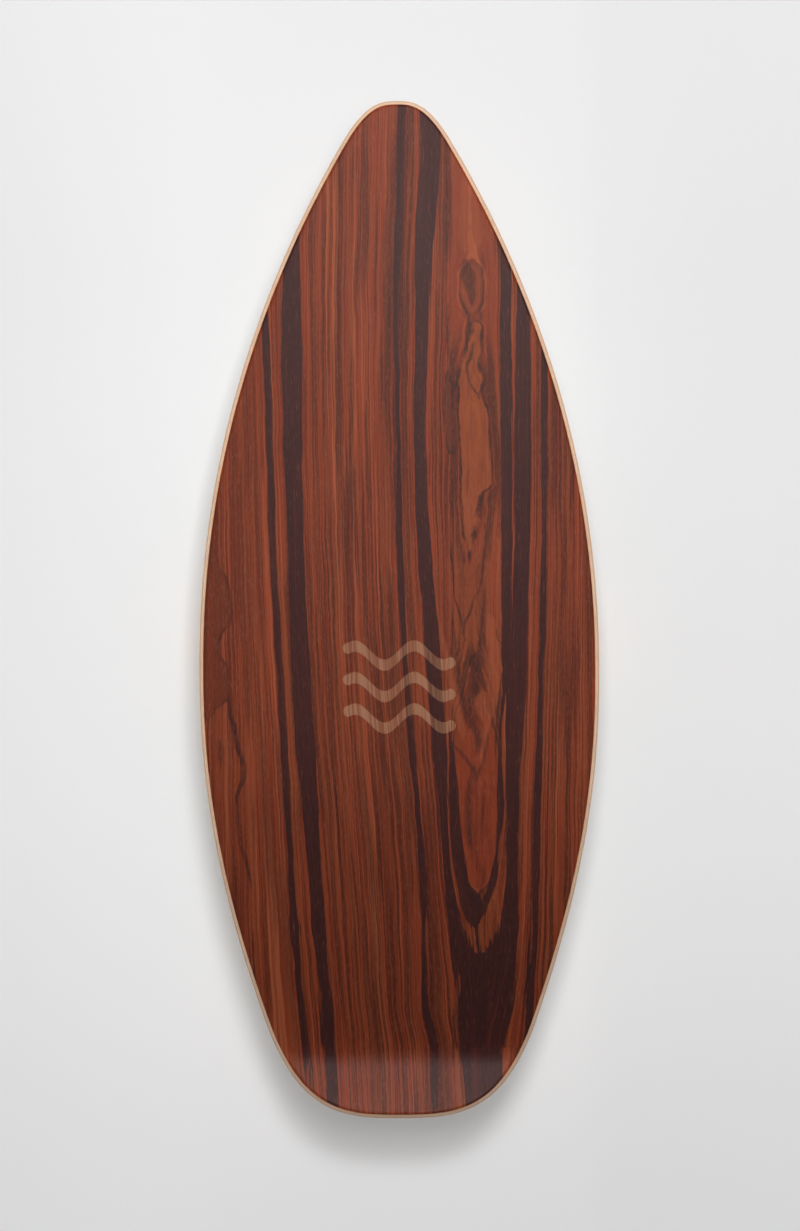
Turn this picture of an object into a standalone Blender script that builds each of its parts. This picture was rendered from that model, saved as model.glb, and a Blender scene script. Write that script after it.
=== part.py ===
"""Roller balance board: a pressed laminate deck, its stoppers and pads, and the roller it rides on.

Metres, +Z up. The nose points along +Y and the tail kick along -Y. The origin is on the floor
under the middle of the deck's length, and the deck lies level on the roller.
"""

import math

import bmesh
import bpy
from mathutils import Matrix, Vector

# Deck outline, seen from above. The flank angles are measured from the deck's long axis.
DECK_LENGTH = 0.850
DECK_WIDTH = 0.335
WIDEST_BEHIND_MIDDLE = 0.053
WIDEST_HANDLE_TO_NOSE = 0.0735
WIDEST_HANDLE_TO_TAIL = 0.0805
NOSE_TIP_HANDLE = 0.012
NOSE_SHOULDER_FROM_TIP = 0.034
NOSE_SHOULDER_HALF_WIDTH = 0.0455
NOSE_SHOULDER_HANDLE = 0.039
NOSE_FLANK_ANGLE = math.radians(30.4)
NOSE_FLANK_HANDLE = 0.2305
TAIL_SHOULDER_FROM_END = 0.0785
TAIL_SHOULDER_HALF_WIDTH = 0.113
TAIL_FLANK_ANGLE = math.radians(19.5)
TAIL_FLANK_HANDLE = 0.134
TAIL_CORNER_HANDLE = 0.083
TAIL_END_HANDLE = 0.043
OUTLINE_STEPS = 12

# Deck laminate, from the top veneer down to the bottom one
VENEER = 0.0005
CORE_PLY = 0.0015
CORE_PLIES = 7
GLUE_LINE = 0.0001
EDGE_RADIUS = 0.006
EDGE_STEPS = 3

# Tail kick, measured along the floor from the tail end
KICK_LENGTH = 0.0575
KICK_BEND = 0.017
KICK_ANGLE = math.radians(15)
KICK_BEND_CUTS = 5

# Roller. Its rest place is the deck's balance point.
ROLLER_RADIUS = 0.055
ROLLER_LENGTH = 0.300
ROLLER_REST_Y = -0.027
CORE_RADIUS = 0.041
CORE_WALL = 0.003
END_FLANGE = 0.008
END_FLANGE_STEP = 0.003
END_SPIGOT = 0.014
END_BORE_RADIUS = 0.005
ROLLER_ROUNDING = 0.002
ROUNDING_STEPS = 2
ROLLER_FLATS = 48

# Stoppers, screwed to the underside across the deck
STOPPER_FROM_NOSE = 0.135
STOPPER_FROM_TAIL = 0.125
STOPPER_WIDTH = 0.024
STOPPER_HEIGHT = 0.020
STOPPER_EDGE_MARGIN = 0.020
STOPPER_ROUNDING = 0.002
BAR_END_STEPS = 10
STRIP_THICKNESS = 0.003
STRIP_END_MARGIN = 0.004
STRIP_ROUNDING = 0.0008

# Countersunk wood screws
SCREWS_PER_STOPPER = 3
SCREW_END_MARGIN = 0.020
SCREW_RADIUS = 0.002
SCREW_HEAD_RADIUS = 0.004
SCREW_HEAD_RIM = 0.0006
SCREW_BITE = 0.008
SCREW_TIP = 0.004
SCREW_SUNK = 0.0003
SOCKET_RADIUS = 0.0017
SOCKET_DEPTH = 0.0018
SOCKET_SIDES = 6
SCREW_FLATS = 12

# Floor pads under the nose and under the kick
PAD_THICKNESS = 0.003
PAD_INSET = 0.010
PAD_LENGTH_NOSE = 0.055
PAD_LENGTH_TAIL = 0.044
PAD_ROUNDING = 0.0008

# Clearances
SEAT_GAP = 0.0003
RUNNING_GAP = 0.0003
CUTTER_OVERLAP = 0.002
WELD = 0.000001

# Worked out from the sizes above
NOSE_Y = DECK_LENGTH / 2
TAIL_Y = -DECK_LENGTH / 2
LAYERS = CORE_PLIES + 2
DECK_THICKNESS = 2 * VENEER + CORE_PLIES * CORE_PLY + (LAYERS - 1) * GLUE_LINE
UNDERSIDE_Z = 2 * ROLLER_RADIUS + RUNNING_GAP
SLEEVE_LENGTH = ROLLER_LENGTH - 2 * (END_FLANGE + SEAT_GAP)

SMOOTH_BELOW = math.radians(35)
PARTS_NAME = "balance_board"
CUTTERS_NAME = "cutters"


def clear_scene():
    """Empties the scene that the script is run in."""
    for obj in list(bpy.data.objects):
        bpy.data.objects.remove(obj)


def new_collection(name, hidden=False):
    """A collection of the scene."""
    collection = bpy.data.collections.new(name)
    bpy.context.scene.collection.children.link(collection)
    collection.hide_render = hidden
    return collection


def from_srgb(red, green, blue):
    """An 8-bit screen colour as the linear colour that a shader takes."""

    def channel(value):
        share = value / 255
        return share / 12.92 if share <= 0.04045 else ((share + 0.055) / 1.055) ** 2.4

    return channel(red), channel(green), channel(blue), 1.0


def material(name, colour, roughness, metallic=0.0):
    """A material of one colour."""
    made = bpy.data.materials.new(name)
    made.use_nodes = True
    shader = made.node_tree.nodes["Principled BSDF"]
    shader.inputs["Base Color"].default_value = colour
    shader.inputs["Roughness"].default_value = roughness
    shader.inputs["Metallic"].default_value = metallic
    made.diffuse_color = colour
    return made


def add_object(name, data, collection, parent=None, slot=None):
    """An object of this mesh or curve, in a collection, under a parent."""
    obj = bpy.data.objects.new(name, data)
    collection.objects.link(obj)
    obj.parent = parent
    if slot is not None:
        data.materials.clear()
        data.materials.append(slot)
    return obj


def add_empty(name, collection, location):
    """An empty that carries a group of pieces."""
    empty = bpy.data.objects.new(name, None)
    empty.location = location
    empty.empty_display_size = 0.02
    collection.objects.link(empty)
    return empty


def finish_mesh(mesh):
    """Rounded places shade smoothly, and the edges of faces stay sharp."""
    mesh.shade_smooth()
    mesh.set_sharp_from_angle(angle=SMOOTH_BELOW)


def baked(obj):
    """The evaluated mesh of an object in its own frame, welded. The object is removed."""
    graph = bpy.context.evaluated_depsgraph_get()
    mesh = bpy.data.meshes.new_from_object(obj.evaluated_get(graph))
    bpy.data.objects.remove(obj)
    bm = bmesh.new()
    bm.from_mesh(mesh)
    bmesh.ops.remove_doubles(bm, verts=bm.verts, dist=WELD)
    bmesh.ops.recalc_face_normals(bm, faces=bm.faces)
    bm.to_mesh(mesh)
    bm.free()
    return mesh


def boolean(obj, cutter, operation="DIFFERENCE"):
    """Cuts an object with a cutter, or keeps what they share."""
    modifier = obj.modifiers.new(cutter.name, "BOOLEAN")
    modifier.operation = operation
    modifier.solver = "EXACT"
    modifier.object = cutter
    return modifier


def add_cutter(name, mesh, collection, matrix=None):
    """A helper shape that never shows."""
    cutter = add_object(name, mesh, collection)
    cutter.hide_render = True
    cutter.display_type = "WIRE"
    if matrix is not None:
        cutter.matrix_world = matrix
    return cutter


def bevel(obj, width, segments=ROUNDING_STEPS):
    """Rounds an object's edges."""
    modifier = obj.modifiers.new("rounding", "BEVEL")
    modifier.width = width
    modifier.segments = segments
    modifier.limit_method = "ANGLE"
    modifier.angle_limit = SMOOTH_BELOW
    modifier.harden_normals = False
    return modifier


def outline_knots():
    """The deck outline's knots, clockwise from the nose tip: (point, direction, handle before, after)."""
    nose_way = Vector((math.sin(NOSE_FLANK_ANGLE), -math.cos(NOSE_FLANK_ANGLE)))
    tail_way = Vector((-math.sin(TAIL_FLANK_ANGLE), -math.cos(TAIL_FLANK_ANGLE)))
    nose_shoulder = Vector((NOSE_SHOULDER_HALF_WIDTH, NOSE_Y - NOSE_SHOULDER_FROM_TIP))
    tail_shoulder = Vector((TAIL_SHOULDER_HALF_WIDTH, TAIL_Y + TAIL_SHOULDER_FROM_END))
    widest = Vector((DECK_WIDTH / 2, -WIDEST_BEHIND_MIDDLE))
    right = [
        (nose_shoulder, nose_way, NOSE_SHOULDER_HANDLE, NOSE_FLANK_HANDLE),
        (widest, Vector((0, -1)), WIDEST_HANDLE_TO_NOSE, WIDEST_HANDLE_TO_TAIL),
        (tail_shoulder, tail_way, TAIL_FLANK_HANDLE, TAIL_CORNER_HANDLE),
    ]
    left = [
        (Vector((-point.x, point.y)), Vector((way.x, -way.y)), after, before)
        for point, way, before, after in reversed(right)
    ]
    nose = (Vector((0, NOSE_Y)), Vector((1, 0)), NOSE_TIP_HANDLE, NOSE_TIP_HANDLE)
    tail = (Vector((0, TAIL_Y)), Vector((-1, 0)), TAIL_END_HANDLE, TAIL_END_HANDLE)
    return [nose, *right, tail, *left]


def flat_curve(name, thickness, rounding, inset=0.0, rounding_steps=1):
    """A plate with rounded edges, still without its outline, centred on its own thickness."""
    curve = bpy.data.curves.new(name, "CURVE")
    curve.dimensions = "2D"
    curve.fill_mode = "BOTH"
    curve.extrude = thickness / 2 - rounding
    curve.bevel_depth = rounding
    curve.bevel_resolution = rounding_steps
    curve.offset = -rounding - inset
    return curve


def deck_plate(name, thickness, rounding, inset=0.0, rounding_steps=1):
    """A plate of the deck's outline, or of that outline drawn in by an inset."""
    curve = flat_curve(name, thickness, rounding, inset, rounding_steps)
    curve.resolution_u = OUTLINE_STEPS
    spline = curve.splines.new("BEZIER")
    spline.use_cyclic_u = True
    knots = outline_knots()
    spline.bezier_points.add(len(knots) - 1)
    for knot, (point, way, before, after) in zip(spline.bezier_points, knots, strict=True):
        knot.handle_left_type = knot.handle_right_type = "FREE"
        knot.co = point.to_3d()
        knot.handle_left = (point - way * before).to_3d()
        knot.handle_right = (point + way * after).to_3d()
    return curve


def round_ended_bar(name, length, width, thickness, rounding):
    """A bar along X with half-round ends and rounded edges."""
    curve = flat_curve(name, thickness, rounding)
    radius = width / 2
    straight = length / 2 - radius
    spline = curve.splines.new("POLY")
    spline.use_cyclic_u = True
    points = []
    for side in (1, -1):
        for n in range(BAR_END_STEPS + 1):
            angle = math.pi * n / BAR_END_STEPS
            points.append((side * (straight + radius * math.sin(angle)), side * radius * math.cos(angle)))
    spline.points.add(len(points) - 1)
    for knot, (at_x, at_y) in zip(spline.points, points, strict=True):
        knot.co = (at_x, at_y, 0, 1)
    return curve


def outline_half_width(at_y):
    """Half the deck's width at a place along its length."""
    knots = outline_knots()
    half = 0.0
    for (start, way, _, after), (end, end_way, before, _) in zip(knots[:4], knots[1:5], strict=True):
        if not end.y <= at_y <= start.y:
            continue
        low, high = 0.0, 1.0
        for _ in range(40):
            middle = (low + high) / 2
            point = bezier_point(start, start + way * after, end - end_way * before, end, middle)
            low, high = (middle, high) if point.y > at_y else (low, middle)
        half = point.x
    return half


def bezier_point(start, leave, arrive, end, share):
    """A point on a cubic Bezier stretch."""
    rest = 1 - share
    return (
        rest**3 * start
        + 3 * rest**2 * share * leave
        + 3 * rest * share**2 * arrive
        + share**3 * end
    )


def kick_stations():
    """Where the laminate is creased for the kick, from the start of the bend to the tail end."""
    start = TAIL_Y + KICK_LENGTH
    bend = [start - KICK_BEND * n / KICK_BEND_CUTS for n in range(KICK_BEND_CUTS + 1)]
    return [*bend, TAIL_Y - CUTTER_OVERLAP]


def kick_rise_at_station(at_y):
    """How far the kick has risen, from a bend whose slope grows evenly to the kick's."""
    past = TAIL_Y + KICK_LENGTH - at_y
    slope = math.tan(KICK_ANGLE)
    if past <= KICK_BEND:
        return slope * past**2 / (2 * KICK_BEND)
    return slope * (past - KICK_BEND / 2)


def kick_rise(at_y):
    """The rise at any place, straight between two stations."""
    stations = kick_stations()
    if at_y >= stations[0]:
        return 0.0
    for front, back in zip(stations[:-1], stations[1:], strict=True):
        if at_y >= back:
            share = (front - at_y) / (front - back)
            rise, next_rise = kick_rise_at_station(front), kick_rise_at_station(back)
            return rise + (next_rise - rise) * share
    return kick_rise_at_station(at_y)


def clear_stations():
    """Where flat faces are split, so that none spans both the roller at rest and a stopper."""
    reach = STOPPER_WIDTH / 2 + GLUE_LINE + STRIP_THICKNESS
    beside_stoppers = [at_y - math.copysign(reach, at_y) for _, at_y in stopper_places()]
    return [*beside_stoppers, ROLLER_REST_Y - ROLLER_RADIUS, ROLLER_REST_Y + ROLLER_RADIUS]


def split_faces(mesh, stations):
    """Splits a mesh's faces along straight lines across the deck. Its shape stays."""
    bm = bmesh.new()
    bm.from_mesh(mesh)
    for station in stations:
        everything = [*bm.verts, *bm.edges, *bm.faces]
        bmesh.ops.bisect_plane(
            bm, geom=everything, dist=WELD, plane_co=(0, station, 0), plane_no=(0, 1, 0)
        )
    bm.to_mesh(mesh)
    bm.free()


def press_kick(mesh):
    """Bends a flat layer up at the tail."""
    split_faces(mesh, kick_stations()[:-1])
    for vertex in mesh.vertices:
        vertex.co.z += kick_rise(vertex.co.y)


def turned_mesh(name, profile, steps, collection):
    """A mesh turned about Z from (radius, height) points that run down its outer side."""
    mesh = bpy.data.meshes.new(name)
    points = [(radius, 0, height) for radius, height in profile]
    on_axis = profile[0][0] == 0 and profile[-1][0] == 0
    edges = [(n, n + 1) for n in range(len(points) - 1)]
    if not on_axis:
        edges.append((len(points) - 1, 0))
    mesh.from_pydata(points, edges, [])
    obj = add_object(name, mesh, collection)
    screw = obj.modifiers.new("turning", "SCREW")
    screw.axis = "Z"
    screw.angle = math.tau
    screw.steps = screw.render_steps = steps
    screw.use_merge_vertices = True
    screw.merge_threshold = WELD
    return baked(obj)


def rounded_corner(centre_radius, centre_height, rounding, start, end, steps=ROUNDING_STEPS):
    """Profile points round a corner, by angle from the outward direction."""
    return [
        (
            centre_radius + rounding * math.cos(start + (end - start) * n / steps),
            centre_height + rounding * math.sin(start + (end - start) * n / steps),
        )
        for n in range(steps + 1)
    ]


def screw_places():
    """(stopper name, x, y) of every screw."""
    reach = stopper_length() / 2 - SCREW_END_MARGIN
    return [
        (name, reach * (2 * n / (SCREWS_PER_STOPPER - 1) - 1), at_y)
        for name, at_y in stopper_places()
        for n in range(SCREWS_PER_STOPPER)
    ]


def stopper_places():
    """(name, y) of the two stoppers."""
    return [
        ("stopper_nose", NOSE_Y - STOPPER_FROM_NOSE),
        ("stopper_tail", TAIL_Y + STOPPER_FROM_TAIL),
    ]


def stopper_length():
    """Both stoppers are as long as the narrower of their places allows."""
    reach = STOPPER_WIDTH / 2
    places = [at_y + side * reach for _, at_y in stopper_places() for side in (-1, 1)]
    return 2 * (min(outline_half_width(at_y) for at_y in places) - STOPPER_EDGE_MARGIN)


def screw_profile(gap=0.0, below=0.0):
    """The screw's outline, head down: the tip is on top, and the head's face is at 0."""
    length = STOPPER_HEIGHT - SCREW_SUNK + SEAT_GAP + SCREW_BITE
    cone = SCREW_HEAD_RADIUS - SCREW_RADIUS
    return [
        (0, length + gap),
        (SCREW_RADIUS + gap, length - SCREW_TIP + gap),
        (SCREW_RADIUS + gap, SCREW_HEAD_RIM + cone + gap),
        (SCREW_HEAD_RADIUS + gap, SCREW_HEAD_RIM + gap),
        (SCREW_HEAD_RADIUS + gap, -below),
        (0, -below),
    ]


def build_deck_layers(parts, cutters, deck, slots):
    """The deck: one blank, drilled for the screws, sliced into its layers and kicked up at the tail."""
    curve = deck_plate("blank", DECK_THICKNESS, EDGE_RADIUS, rounding_steps=EDGE_STEPS)
    blank = add_object("blank", curve, cutters)
    mesh = baked(blank)
    mesh.transform(Matrix.Translation((0, 0, DECK_THICKNESS / 2)))
    blank = add_object("blank", mesh, cutters)
    hole = turned_mesh("pilot_hole", screw_profile(SEAT_GAP), SCREW_FLATS, cutters)
    for n, (_, at_x, at_y) in enumerate(screw_places()):
        head_z = -SEAT_GAP - STOPPER_HEIGHT + SCREW_SUNK
        place = Matrix.Translation((at_x, at_y, head_z))
        boolean(blank, add_cutter(f"pilot_hole_{n}", hole, cutters, place))
    bpy.context.view_layer.update()
    drilled = baked(blank)
    low = 0.0
    names = ["bottom_veneer", *(f"core_ply_{n}" for n in range(CORE_PLIES, 0, -1)), "top_veneer"]
    for name in names:
        thickness = CORE_PLY if name.startswith("core") else VENEER
        slab = slab_cutter(name, low, low + thickness, cutters)
        layer = add_object(name, drilled.copy(), cutters)
        boolean(layer, slab, "INTERSECT")
        bpy.context.view_layer.update()
        sliced = baked(layer)
        split_faces(sliced, clear_stations())
        press_kick(sliced)
        finish_mesh(sliced)
        sliced.name = name
        add_object(name, sliced, parts, deck, slots[name.rstrip("_1234567890")])
        low += thickness + GLUE_LINE


def slab_cutter(name, low, high, cutters):
    """A flat slab that keeps one layer of the blank."""
    bm = bmesh.new()
    bmesh.ops.create_cube(bm, size=1)
    size = (DECK_WIDTH + CUTTER_OVERLAP, DECK_LENGTH + CUTTER_OVERLAP, high - low)
    bmesh.ops.scale(bm, vec=size, verts=bm.verts)
    bmesh.ops.translate(bm, vec=(0, 0, (low + high) / 2), verts=bm.verts)
    mesh = bpy.data.meshes.new(f"slab_{name}")
    bm.to_mesh(mesh)
    bm.free()
    return add_cutter(f"slab_{name}", mesh, cutters)


def build_stoppers(parts, cutters, deck, slots):
    """The two bars across the underside, with countersunk holes, and the rubber strips on them."""
    length = stopper_length()
    hole = turned_mesh("screw_hole", screw_profile(SEAT_GAP, CUTTER_OVERLAP), SCREW_FLATS, cutters)
    middle_z = -SEAT_GAP - STOPPER_HEIGHT / 2
    for name, at_y in stopper_places():
        curve = round_ended_bar(name, length, STOPPER_WIDTH, STOPPER_HEIGHT, STOPPER_ROUNDING)
        mesh = baked(add_object(name, curve, cutters))
        mesh.transform(Matrix.Translation((0, at_y, middle_z)))
        bar = add_object(name, mesh, cutters)
        for n, (owner, at_x, screw_y) in enumerate(screw_places()):
            if owner == name:
                place = Matrix.Translation((at_x, screw_y, middle_z - STOPPER_HEIGHT / 2 + SCREW_SUNK))
                boolean(bar, add_cutter(f"hole_{n}", hole, cutters, place))
        bpy.context.view_layer.update()
        drilled = baked(bar)
        finish_mesh(drilled)
        drilled.transform(Matrix.Translation((0, -at_y, -middle_z)))
        drilled.name = name
        stopper = add_object(name, drilled, parts, deck, slots["stopper"])
        stopper.location = (0, at_y, middle_z)
        inward = -math.copysign(1, at_y)
        strip_size = (
            length - STOPPER_WIDTH - 2 * STRIP_END_MARGIN,
            STRIP_THICKNESS,
            STOPPER_HEIGHT - 2 * STOPPER_ROUNDING,
        )
        strip_y = at_y + inward * (STOPPER_WIDTH / 2 + GLUE_LINE + STRIP_THICKNESS / 2)
        strip = box(name.replace("stopper", "bumper_strip"), strip_size, parts, deck, slots["rubber"])
        strip.location = (0, strip_y, middle_z)
        bevel(strip, STRIP_ROUNDING)


def box(name, size, collection, parent, slot):
    """A box of this size, centred on its object's origin."""
    bm = bmesh.new()
    bmesh.ops.create_cube(bm, size=1)
    bmesh.ops.scale(bm, vec=size, verts=bm.verts)
    mesh = bpy.data.meshes.new(name)
    bm.to_mesh(mesh)
    bm.free()
    return add_object(name, mesh, collection, parent, slot)


def build_screws(parts, cutters, deck, slots):
    """The wood screws that hold the stoppers, heads down."""
    body = turned_mesh("screw", screw_profile(), SCREW_FLATS, cutters)
    bm = bmesh.new()
    bmesh.ops.create_cone(
        bm, cap_ends=True, segments=SOCKET_SIDES, radius1=SOCKET_RADIUS, radius2=SOCKET_RADIUS,
        depth=2 * SOCKET_DEPTH,
    )
    socket = bpy.data.meshes.new("socket")
    bm.to_mesh(socket)
    bm.free()
    whole = add_object("screw", body, cutters)
    boolean(whole, add_cutter("socket", socket, cutters))
    bpy.context.view_layer.update()
    screw_mesh = baked(whole)
    finish_mesh(screw_mesh)
    head_z = -SEAT_GAP - STOPPER_HEIGHT + SCREW_SUNK
    for n, (owner, at_x, at_y) in enumerate(screw_places()):
        end = owner.removeprefix("stopper_")
        name = f"screw_{end}_{n % SCREWS_PER_STOPPER + 1}"
        screw = add_object(name, screw_mesh, parts, deck, slots["screw"])
        screw.location = (at_x, at_y, head_z)


def build_pads(parts, cutters, deck, slots):
    """The thin rubber pads that meet the floor when an end of the deck goes down."""
    ends = [
        ("floor_pad_nose", NOSE_Y - PAD_INSET - PAD_LENGTH_NOSE, 1),
        ("floor_pad_tail", TAIL_Y + PAD_INSET + PAD_LENGTH_TAIL, -1),
    ]
    for name, cut_y, way in ends:
        curve = deck_plate(name, PAD_THICKNESS, PAD_ROUNDING, PAD_INSET)
        mesh = baked(add_object(name, curve, cutters))
        mesh.transform(Matrix.Translation((0, 0, -GLUE_LINE - PAD_THICKNESS / 2)))
        bm = bmesh.new()
        bm.from_mesh(mesh)
        cut = bmesh.ops.bisect_plane(
            bm, geom=[*bm.verts, *bm.edges, *bm.faces], dist=WELD,
            plane_co=(0, cut_y, 0), plane_no=(0, -way, 0), clear_outer=True,
        )
        rim = [edge for edge in cut["geom_cut"] if isinstance(edge, bmesh.types.BMEdge)]
        bmesh.ops.edgeloop_fill(bm, edges=rim)
        bmesh.ops.recalc_face_normals(bm, faces=bm.faces)
        bm.to_mesh(mesh)
        bm.free()
        press_kick(mesh)
        finish_mesh(mesh)
        mesh.name = name
        add_object(name, mesh, parts, deck, slots["rubber"])


def build_roller(parts, cutters, slots):
    """The roller lies along X under the deck: a tube in a cork sleeve, with a disc in each end."""
    travel = add_empty("roller_travel_frame", parts, (0, ROLLER_REST_Y, ROLLER_RADIUS))
    travel.rotation_euler = (0, math.pi / 2, 0)
    spin = add_empty("roller_spin_frame", parts, (0, 0, 0))
    spin.parent = travel
    # a flat faces the floor and the deck, and the flats lie at the roller's true radius
    spin.rotation_euler = (0, 0, math.pi / ROLLER_FLATS)
    to_corner = 1 / math.cos(math.pi / ROLLER_FLATS)
    half = SLEEVE_LENGTH / 2
    core = [
        (CORE_RADIUS, half),
        (CORE_RADIUS, -half),
        (CORE_RADIUS - CORE_WALL, -half),
        (CORE_RADIUS - CORE_WALL, half),
    ]
    turned_piece("roller_core", core, parts, cutters, travel, slots["core"])
    outer = ROLLER_RADIUS * to_corner
    bore = (CORE_RADIUS + SEAT_GAP) * to_corner
    corner = outer - ROLLER_ROUNDING
    quarter = math.pi / 2
    sleeve = [
        *rounded_corner(corner, half - ROLLER_ROUNDING, ROLLER_ROUNDING, quarter, 0),
        *rounded_corner(corner, ROLLER_ROUNDING - half, ROLLER_ROUNDING, 0, -quarter),
        (bore, -half),
        (bore, half),
    ]
    turned_piece("roller_sleeve", sleeve, parts, cutters, spin, slots["cork"])
    rim = ROLLER_RADIUS - END_FLANGE_STEP
    spigot = (CORE_RADIUS - CORE_WALL) * math.cos(math.pi / ROLLER_FLATS) - SEAT_GAP
    disc = [
        (END_BORE_RADIUS, END_FLANGE),
        *rounded_corner(rim - ROLLER_ROUNDING, END_FLANGE - ROLLER_ROUNDING, ROLLER_ROUNDING, quarter, 0),
        (rim, 0),
        (spigot, 0),
        (spigot, -END_SPIGOT + ROLLER_ROUNDING),
        (spigot - ROLLER_ROUNDING, -END_SPIGOT),
        (END_BORE_RADIUS, -END_SPIGOT),
    ]
    for name, way in (("roller_end_left", -1), ("roller_end_right", 1)):
        end = turned_piece(name, disc, parts, cutters, spin, slots["disc"])
        end.location = (0, 0, way * (half + SEAT_GAP))
        if way < 0:
            end.rotation_euler = (math.pi, 0, 0)


def turned_piece(name, profile, parts, cutters, parent, slot):
    """A turned piece of the roller, about its parent's Z axis."""
    mesh = turned_mesh(name, profile, ROLLER_FLATS, cutters)
    finish_mesh(mesh)
    mesh.name = name
    return add_object(name, mesh, parts, parent, slot)


def build_materials():
    """One material for each kind of stuff, by the name that its pieces ask for."""
    birch = from_srgb(226, 192, 152)
    return {
        "top_veneer": material("rosewood_veneer", from_srgb(118, 66, 52), 0.42),
        "core_ply": material("birch_ply", birch, 0.5),
        "bottom_veneer": material("birch_face", from_srgb(222, 190, 150), 0.5),
        "stopper": material("beech_stopper", from_srgb(205, 160, 115), 0.5),
        "rubber": material("black_rubber", from_srgb(38, 38, 40), 0.75),
        "screw": material("zinc_steel", from_srgb(190, 190, 188), 0.35, 1.0),
        "cork": material("cork", from_srgb(186, 140, 96), 0.85),
        "core": material("core_tube_plastic", from_srgb(120, 122, 124), 0.5),
        "disc": material("beech_disc", from_srgb(214, 172, 126), 0.5),
    }


def main():
    clear_scene()
    parts = new_collection(PARTS_NAME)
    cutters = new_collection(CUTTERS_NAME, hidden=True)
    slots = build_materials()
    deck = add_empty("deck_frame", parts, (0, 0, UNDERSIDE_Z))
    build_deck_layers(parts, cutters, deck, slots)
    build_stoppers(parts, cutters, deck, slots)
    build_screws(parts, cutters, deck, slots)
    build_pads(parts, cutters, deck, slots)
    build_roller(parts, cutters, slots)


main()
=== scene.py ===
"""Looks of a roller balance board: rosewood deck, stoppers, pads and cork roller.

Metres, +Z up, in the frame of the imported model. The nose points along +Y, and the deck lies level on
its roller. Sizes of a figure or a grain are in millimetres, and say so.
"""
import math

import bmesh
import bpy
from mathutils import Matrix, Vector


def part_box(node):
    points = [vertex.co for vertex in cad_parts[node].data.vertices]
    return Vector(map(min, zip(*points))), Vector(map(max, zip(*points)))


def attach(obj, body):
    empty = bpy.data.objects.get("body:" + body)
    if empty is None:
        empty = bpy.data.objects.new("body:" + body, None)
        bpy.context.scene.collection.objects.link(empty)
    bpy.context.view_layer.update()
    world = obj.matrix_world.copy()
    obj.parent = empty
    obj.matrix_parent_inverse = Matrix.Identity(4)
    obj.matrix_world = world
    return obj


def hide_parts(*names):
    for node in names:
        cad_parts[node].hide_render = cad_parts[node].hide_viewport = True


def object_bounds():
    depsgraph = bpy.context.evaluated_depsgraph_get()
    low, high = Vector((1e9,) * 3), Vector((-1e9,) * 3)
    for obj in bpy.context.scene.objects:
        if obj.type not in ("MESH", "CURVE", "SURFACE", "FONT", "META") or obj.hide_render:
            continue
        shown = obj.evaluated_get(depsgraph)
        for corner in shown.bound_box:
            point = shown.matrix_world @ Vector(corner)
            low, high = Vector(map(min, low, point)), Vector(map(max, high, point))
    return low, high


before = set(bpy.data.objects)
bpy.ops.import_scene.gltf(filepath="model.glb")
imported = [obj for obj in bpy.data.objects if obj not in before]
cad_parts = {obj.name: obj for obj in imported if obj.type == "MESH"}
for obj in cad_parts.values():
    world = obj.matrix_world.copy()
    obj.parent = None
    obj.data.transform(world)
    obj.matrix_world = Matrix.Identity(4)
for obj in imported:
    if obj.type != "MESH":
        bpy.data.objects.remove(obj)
CAD_LOW, CAD_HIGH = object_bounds()

bl_info = {
    "name": "Balance Board Looks",
    "version": (1, 0, 0),
    "blender": (4, 5, 0),
    "location": "3D View > Sidebar > Balance Board",
    "description": "Builds the pieces of a roller balance board around its packed model",
    "category": "Object",
}

MM = 0.001

# Deck outline, as (place, direction, handle before, handle after) knots worked out from these
NOSE_Y = CAD_HIGH.y
TAIL_Y = CAD_LOW.y
HALF_WIDTH = CAD_HIGH.x
WIDEST_Y = -53 * MM
WIDEST_HANDLES = (73.5 * MM, 80.5 * MM)
NOSE_TIP_HANDLE = 12 * MM
NOSE_SHOULDER = (45.5 * MM, 34 * MM)
NOSE_FLANK_ANGLE = math.radians(30.4)
NOSE_SHOULDER_HANDLES = (39 * MM, 230.5 * MM)
TAIL_SHOULDER = (113 * MM, 78.5 * MM)
TAIL_FLANK_ANGLE = math.radians(19.5)
TAIL_SHOULDER_HANDLES = (134 * MM, 83 * MM)
TAIL_END_HANDLE = 43 * MM
STRETCH_STEPS = (28, 80, 76, 90)
HALVINGS = 40
ON_AXIS = 1e-7
TINY = 1e-6

# Deck laminate, from its underside up
UNDERSIDE_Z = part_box("bottom_veneer")[0].z
VENEER = 0.5 * MM
PLY = 1.5 * MM
PLIES = 7
GLUE_LINE = 0.1 * MM
DECK_THICKNESS = 2 * VENEER + PLIES * PLY + (PLIES + 1) * GLUE_LINE
RIM_STEP = math.radians(7.5)
RIM_SUPPORT = 0.8 * MM

# Stoppers and bumper strips
BEVEL_ANGLE = math.radians(40)
STOPPER_ROUNDING = 2 * MM
STOPPER_END_STEPS = 28
STRIP_ROUNDING = 0.7 * MM
RIB_END_GAP = 2 * MM
RIB_EDGE_GAP = 0.8 * MM
RIB_RADIUS_SHARE = 0.36
RIB_STEPS = 16

# Screws
SCREW_HEAD_EDGE = 0.2 * MM
SCREW_HEAD_RIM = 0.6 * MM
SCREW_NECK = 9 * MM
SCREW_TIP = 4 * MM
SCREW_STEPS = 32
SCREW_CLEARANCE = 0.3 * MM
HOLE_MOUTH = 1 * MM
HOLE_STEPS = 24
THREAD_GROOVE = 0.4 * MM
THREAD_RIDGE = 0.42 * MM
THREAD_STEPS = 20
THREAD_SIDES = 4
THREAD_FADE = 14
SOCKET_SIDES = 6
SOCKET_RADIUS = 1.7 * MM
SOCKET_DEPTH = 1.8 * MM
SOCKET_TIP = 0.4 * MM

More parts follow.
